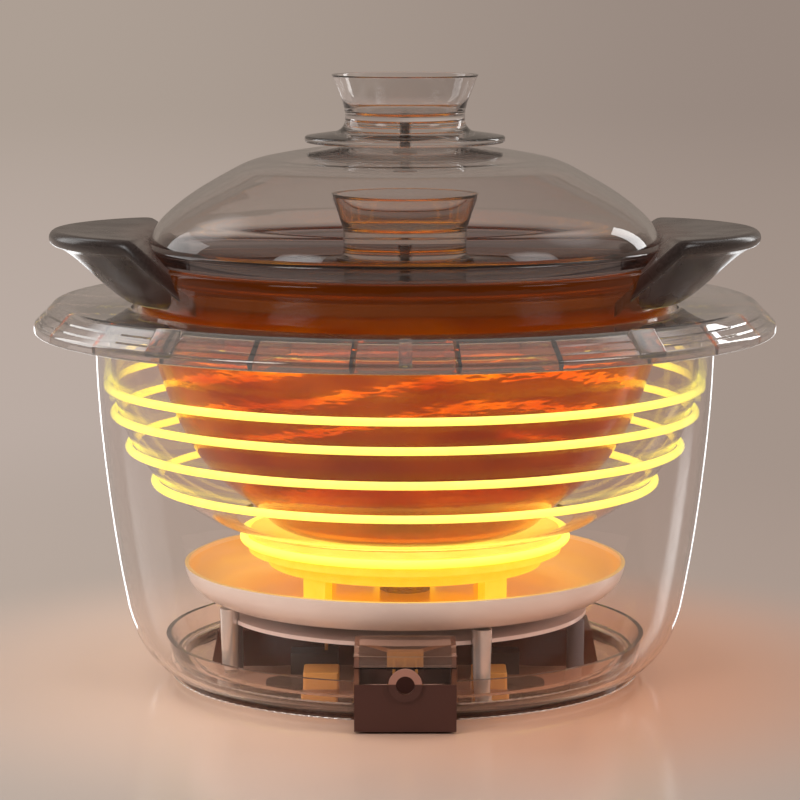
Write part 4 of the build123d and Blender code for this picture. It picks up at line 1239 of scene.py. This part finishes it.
@dataclass
class BaseWalls:
    """The shell, the liner, the tray, the foot ring with its knurls, and the feet."""

    liner_radius: float = 119.4
    liner_bowl: float = 71.7
    liner_centre_height: float = 130.6
    liner_mouth: float = 70.0
    liner_wall: float = 1.8
    liner_top: float = 142.0
    bead_circle: float = 95.5
    bead_heights: Pair = (7.9, 1.5)
    bead_arcs: tuple[Pair, ...] = ((-77.5, 70.5), (109.5, 257.5))
    bead_radius: float = 0.42
    bead_pitch: float = 2.4
    bead_swell: float = 0.28
    bead_steps: int = 6
    finishes: dict[str, Finish] = field(default_factory=lambda: {
        "outer_shell": CLEAR_SHELL,
        "base_tray": CLEAR_TRAY,
        "foot_ring": SMOKED_DARK,
        "rubber_feet": RUBBER,
    })

    def liner(self) -> Piece:
        """Turn the liner: an arc from its mouth to level, a straight wall above, and the same moved in.

        Returns:
            The liner.
        """
        centre = self.liner_radius - self.liner_bowl
        lowest = -math.acos((self.liner_mouth - centre) / self.liner_bowl)
        angle = np.linspace(lowest, 0, 40)
        arc = np.column_stack([centre + self.liner_bowl * np.cos(angle),
                               self.liner_centre_height + self.liner_bowl * np.sin(angle)])
        outer = np.vstack([arc, [[self.liner_radius, self.liner_top]]])
        inner = moved_in(outer, self.liner_wall)[::-1]
        return turned("liner_glass_wall", np.vstack([outer, inner]))

    def beads(self, height: float, arc: Pair, name: str) -> Piece:
        """Run a fine knurl along an edge of the foot ring: a thin tube whose radius swells at each bead.

        Args:
            height: Height of the edge.
            arc: First and last direction in degrees.
            name: Name of the piece.

        Returns:
            The knurl.
        """
        angle = np.radians(np.arange(*arc, self.bead_pitch / self.bead_steps))
        swell = 1 + self.bead_swell * (np.cos(360 / self.bead_pitch * angle) - 1)
        return tube(name, round_axis(self.bead_circle, angle, height), self.bead_radius * swell, sides=8)

    def build(self, frame: dict) -> None:
        """Make the liner and the knurls, and dress the other walls.

        Args:
            frame: The loaded frame.
        """
        finish_piece(self.liner(), LINER_GLASS, Slot.LINER_GLASS, Body.BASE, "heating_liner")
        for level, height in enumerate(self.bead_heights, 1):
            for half, arc in enumerate(self.bead_arcs, 1):
                knurl = self.beads(height, arc, f"foot_ring_knurl_{level}_{half}")
                finish_piece(knurl, KNURL, Slot.SMOKED_PLASTIC, Body.BASE)
        dress_nodes(frame, self.finishes)


@dataclass
class HeatingParts:
    """The coil, the heater plate with its element, the dish, the shield and what carries them."""

    turns: tuple[float, ...] = (121.0, 109.6, 95.6, 81.0)
    step_angle: float = 60.0
    tip_angle: float = 1.6
    bowl_centre: Pair = (47.7, 130.6)
    bowl_radius: float = 73.6
    wire_radius: float = 1.25
    tube_radius: float = 1.7
    finishes: dict[str, Finish] = field(default_factory=lambda: {
        "coil_end_blocks": CERAMIC,
        "plate_heating_element": ELEMENT_GLOW,
        "heater_plate": PLATE_PAINTED_GLOW,
        "reflector_dish": DISH_ENAMEL,
        "shield_disc": SHIELD_ENAMEL,
        "standoffs": CHROME,
        "tray_screws": STEEL,
        "support_posts": POST_PLASTIC,
        "thermal_cutout": CERAMIC,
        "sensor_guide": STEEL,
        "sensor_cap": CHROME,
    })
    spring_radius: float = 6.0
    spring_wire_radius: float = 0.6
    spring_turns: int = 6
    spring_bottom: float = 34.1
    spring_length: float = 22.5
    sensor_travel: float = 3.0

    def coil_route(self) -> np.ndarray:
        """Give the coil's centre line: level turns that step down at the back, always on the liner's bowl.

        At a height h its radius is c + sqrt(r^2 - (h - b)^2), for a bowl of radius r round (c, b). Within a
        step of share t the height falls by 3t^2 - 2t^3 of the drop.

        Returns:
            Points of the line.
        """
        angles, heights = [], []
        for number, height in enumerate(self.turns):
            start = 90 + self.step_angle / 2 + 360 * number
            level = np.linspace(start, start + 360 - self.step_angle, 150)
            angles.append(level)
            heights.append(np.full(len(level), height))
            if number + 1 < len(self.turns):
                share = np.linspace(0, 1, 42)[1:-1]
                angles.append(level[-1] + self.step_angle * share)
                heights.append(height + (self.turns[number + 1] - height) * share**2 * (3 - 2 * share))
        angle, height = np.concatenate(angles), np.concatenate(heights)
        angle = np.concatenate([[angle[0] - self.tip_angle], angle, [angle[-1] + self.tip_angle]])
        height = np.concatenate([height[:1], height, height[-1:]])
        radius = self.bowl_centre[0] + np.sqrt(self.bowl_radius**2 - (height - self.bowl_centre[1]) ** 2)
        return round_axis(radius, np.radians(angle), height)

    def spring_route(self) -> np.ndarray:
        """Give the sensor spring's centre line: a helix at one radius that rises evenly over its turns.

        Returns:
            Points of the line.
        """
        turn = np.linspace(0, FULL_TURN * self.spring_turns, 24 * self.spring_turns + 1)
        height = np.linspace(self.spring_wire_radius, self.spring_length - self.spring_wire_radius, len(turn))
        return round_axis(self.spring_radius, turn, self.spring_bottom + height)

    def build(self, frame: dict) -> None:
        """Make the coil as a glowing wire in a clear tube and the sensor's spring, and dress the others.

        Args:
            frame: The loaded frame.
        """
        route = self.coil_route()
        wire = tube("side_coil_wire", route, self.wire_radius)
        finish_piece(wire, COIL_GLOW, Slot.GLOWING_COIL, Body.BASE, "side_heating_coil")
        glass = tube("side_coil_tube", route, self.tube_radius)
        finish_piece(glass, TUBE_GLASS, Slot.GLOWING_COIL, Body.BASE)
        spring = tube("sensor_spring_wire", self.spring_route(), self.spring_wire_radius)
        finish_piece(spring, STEEL, Slot.SCREW_STEEL, Body.BASE, "sensor_spring")
        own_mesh(spring)
        dress_nodes(frame, self.finishes)


@dataclass
class ElectricalParts:
    """The circuit board and its cover, the cord entry and the control panel."""

    finishes: dict[str, Finish] = field(default_factory=lambda: {
        "power_board": BOARD,
        "power_cover": SMOKED,
        "relays": RELAY_PLASTIC,
        "film_capacitors": EPOXY,
        "cord_box": BOX_PLASTIC,
        "cord_box_cover": HOOD_SMOKED,
        "cord_grommet": GROMMET,
        "terminal_block": BRASS,
        "terminal_pins": BRASS,
        "lead_wires": BRASS,
        "control_panel": BOX_PLASTIC,
        "display_window": WINDOW_GLASS,
        "control_board": BOARD,
        **{f"button_{number}": BUTTON_PLASTIC for number in range(1, 5)},
    })

    def build(self, frame: dict) -> None:
        """Dress the electrical parts.

        Args:
            frame: The loaded frame.
        """
        dress_nodes(frame, self.finishes)


# Studio


@dataclass(frozen=True)
class Lamp:
    """A rectangular lamp that the camera doesn't see, also not through a clear wall."""

    name: str
    place: Triple
    aim_height: float
    size: Pair
    power: float
    tint: Triple = (1.0, 1.0, 1.0)
    mirrored: bool = True

    def set_up(self) -> None:
        """Hang the lamp."""
        data = bpy.data.lights.new(self.name, "AREA")
        data.shape = "RECTANGLE"
        data.size, data.size_y = self.size
        data.energy = self.power
        data.color = self.tint
        lamp = bpy.data.objects.new(self.name, data)
        lamp.location = self.place
        way = Vector((0, 0, self.aim_height)) - Vector(self.place)
        lamp.rotation_euler = way.to_track_quat("-Z", "Y").to_euler()
        lamp.visible_glossy = self.mirrored
        lamp.visible_camera = lamp.visible_transmission = False
        bpy.context.scene.collection.objects.link(lamp)


@dataclass(frozen=True)
class Card:
    """A bright card that only mirrors show; a soft one fades out, another shines upwards only."""

    name: str
    corners: tuple[Triple, ...]
    strength: float
    soft: bool = True
    fade: Pair = (0.25, 0.8)

    def set_up(self) -> None:
        """Stand the card."""
        points = np.array(self.corners) / MM
        card = piece_from(self.name, points, np.array([[0, 1, 2, 3]]))
        sheet = ShaderSheet(self.name)
        if self.soft:
            middle = points.mean(axis=0)
            reach = np.linalg.norm(points - middle, axis=1).mean() * MM
            hidden = sheet.spread(sheet.distance(tuple(middle * MM)), *(share * reach for share in self.fade))
        else:
            if card.data.polygons[0].normal.z < 0:
                card.data.flip_normals()
            hidden = sheet.node("NewGeometry").outputs["Backfacing"]
        shine = sheet.node("Emission", {"Strength": self.strength})
        sheet.show_mixed(hidden, shine, sheet.node("BsdfTransparent"))
        card.data.materials.append(sheet.material)
        card.visible_camera = card.visible_diffuse = card.visible_transmission = card.visible_shadow = False


def edge_card(side: int, strength: float) -> Card:
    """Give the card that lies on the floor beside the object and runs far back.

    Args:
        side: 1 for the one towards +X, -1 for the other.
        strength: Its brightness.

    Returns:
        The card.
    """
    corners = (0.1272, 0.0371), (0.1341, 0.0354), (0.50, 1.222), (0.354, 1.274)
    return Card("edge card", tuple((side * x, y, 0.003) for x, y in corners), strength, soft=False)


@dataclass
class Studio:
    """The floor, the lamps, the cards, the world and the camera."""

    floor_radius: float = 40.0
    camera_place: Triple = (-0.002, -1.2969, 0.2935)
    camera_pitch: float = 7.95
    lens: float = 144.36
    sensor_width: float = 36.0
    bounces: int = 28
    daylight: Colour = colour(226, 216, 208)
    daylight_strength: float = 0.6
    room: tuple[Colour, Colour] = colour(58, 52, 48), colour(150, 138, 128)
    room_span: Pair = (-0.6, 0.5)
    # painted light: near the base, the heater's warm glow on the left and the pot's orange reflection on the
    # right
    floor_with_painted_glow: tuple[Colour, Colour] = colour(231, 198, 180), colour(205, 151, 124)
    floor_with_painted_glow_span: Pair = (-0.12, 0.12)
    floor_around: tuple[Colour, Colour] = colour(184, 172, 164), colour(166, 150, 142)
    floor_around_span: Pair = (-0.30, 0.30)
    floor_around_reach: Pair = (0.10, 0.26)
    floor_plain: tuple[Colour, Colour] = colour(187, 172, 163), colour(164, 148, 138)
    floor_plain_reach: Pair = (0.20, 0.75)
    floor_far: tuple[Colour, Colour] = colour(173, 159, 148), colour(151, 136, 127)
    floor_far_reach: Pair = (0.3, 5.0)
    view_span: Pair = (-0.13, 0.13)
    floor_roughness: float = 0.16
    floor_polish: float = 0.5
    lights: tuple[Lamp | Card, ...] = (
        Lamp("left softbox", (-1.1, -0.9, 0.9), 0.1, (0.5, 0.9), 10, mirrored=False),
        Lamp("left back softbox", (-1.5, 0.8, 0.6), 0.12, (0.8, 0.8), 4),
        edge_card(-1, 3.0),
        edge_card(1, 2.2),
        Card("left card",
             ((-1.25, 0.25, 0.95), (-1.15, 0.85, 0.55), (-0.75, 1.0, 1.05), (-0.75, 0.35, 1.5)), 1.7),
        Card("right card", ((0.9, 0.5, 0.7), (1.2, -0.2, 0.8), (0.9, -0.1, 1.4), (0.6, 0.6, 1.3)), 1.2),
        Card("front left card",
             ((-1.35, -0.75, 0.4), (-0.85, -1.1, 0.4), (-0.85, -1.1, 1.4), (-1.35, -0.75, 1.4)), 5.0),
        Card("front right card",
             ((1.35, -0.45, 0.4), (0.95, -0.8, 0.4), (0.95, -0.8, 1.3), (1.35, -0.45, 1.3)), 3.5),
        Lamp("right softbox", (1.2, -0.6, 0.8), 0.1, (0.4, 0.9), 7, (1.0, 0.95, 0.9), mirrored=False),
        Lamp("right back softbox", (1.4, 1.2, 0.7), 0.12, (0.35, 1.0), 5),
        Lamp("top softbox", (0, 0.2, 1.5), 0.1, (1.2, 1.2), 10, mirrored=False),
    )

    def floor(self) -> None:
        """Lay a round floor: a satin top near the object, with the heater's warm glow and the pot's orange
        reflection painted on it, that passes into a plain greige far off.

        Each pair of colours runs from left to right. Near the object they follow X; farther off they follow
        the direction that the camera sees them in, which is X over the way in front of the camera.
        """
        reach = self.floor_radius / MM
        disc = turned("studio_floor", np.array([[0.0, 0.0], [reach, 0.0]]), closed=False, steps=96)
        sheet = ShaderSheet("studio floor")
        radius = sheet.distance((0, 0, 0), (1, 1, 0))
        x, y = sheet.axis(Axis.X), sheet.axis(Axis.Y)
        # painted glow and reflection of the heater and the pot near the base
        near = sheet.blend(sheet.spread(x, *self.floor_with_painted_glow_span), *self.floor_with_painted_glow)
        around = sheet.blend(sheet.spread(x, *self.floor_around_span), *self.floor_around)
        satin = sheet.blend(sheet.spread(radius, *self.floor_around_reach), near, around)
        sheet.set(Base_Color=satin, Roughness=self.floor_roughness, Specular_IOR_Level=self.floor_polish)
        sheet.bump(sheet.noise(300), 0.05, 0.0001)
        direction = sheet.maths(Sum.DIVIDE, x, sheet.maths(Sum.ADD, y, -self.camera_place[1]))
        across = sheet.spread(direction, *self.view_span)
        plain, far = sheet.blend(across, *self.floor_plain), sheet.blend(across, *self.floor_far)
        greige = sheet.blend(sheet.spread(y, *self.floor_far_reach), plain, far)
        share = sheet.maths(Sum.MULTIPLY, sheet.spread(radius, *self.floor_plain_reach), sheet.seen())
        sheet.show_mixed(share, sheet.shader, sheet.node("Emission", {"Color": greige}))
        disc.data.materials.append(sheet.material)

    def world(self) -> None:
        """Fill the room with soft light, and show a darker greige to the camera and in mirrors."""
        world = bpy.data.worlds.new("studio")
        world.use_nodes = True
        nodes = world.node_tree.nodes
        sheet = NodeSheet(world.node_tree, nodes["World Output"])
        sheet.feed(nodes["Background"], {"Color": self.daylight, "Strength": self.daylight_strength})
        room = sheet.blend(sheet.spread(sheet.axis(Axis.Y), *self.room_span), *self.room)
        sheet.show_mixed(sheet.seen(), nodes["Background"], sheet.node("Background", {"Color": room}))
        bpy.context.scene.world = world

    def camera(self) -> None:
        """Stand the camera where the photograph was taken from."""
        data = bpy.data.cameras.new("photo camera")
        data.lens = self.lens
        data.sensor_width = self.sensor_width
        camera = bpy.data.objects.new("photo camera", data)
        camera.location = self.camera_place
        camera.rotation_euler = (math.radians(90 - self.camera_pitch), 0, 0)
        bpy.context.scene.collection.objects.link(camera)
        bpy.context.scene.camera = camera

    def build(self) -> None:
        """Set up the whole studio."""
        scene = bpy.context.scene
        scene.view_settings.view_transform = "Standard"
        scene.cycles.max_bounces = self.bounces
        scene.cycles.transmission_bounces = self.bounces
        scene.cycles.transparent_max_bounces = self.bounces
        scene.cycles.caustics_reflective = scene.cycles.caustics_refractive = False
        self.world()
        self.camera()
        self.floor()
        for light in self.lights:
            light.set_up()


def main() -> None:
    """Build the object's pieces in order."""
    logging.basicConfig(level=logging.INFO, format="%(message)s")
    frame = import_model()
    Studio().build()
    Pot().build()
    Lids().build(frame)
    RimRing().build()
    BaseWalls().build(frame)
    HeatingParts().build(frame)
    ElectricalParts().build(frame)


if __name__ == "__main__":
    main()
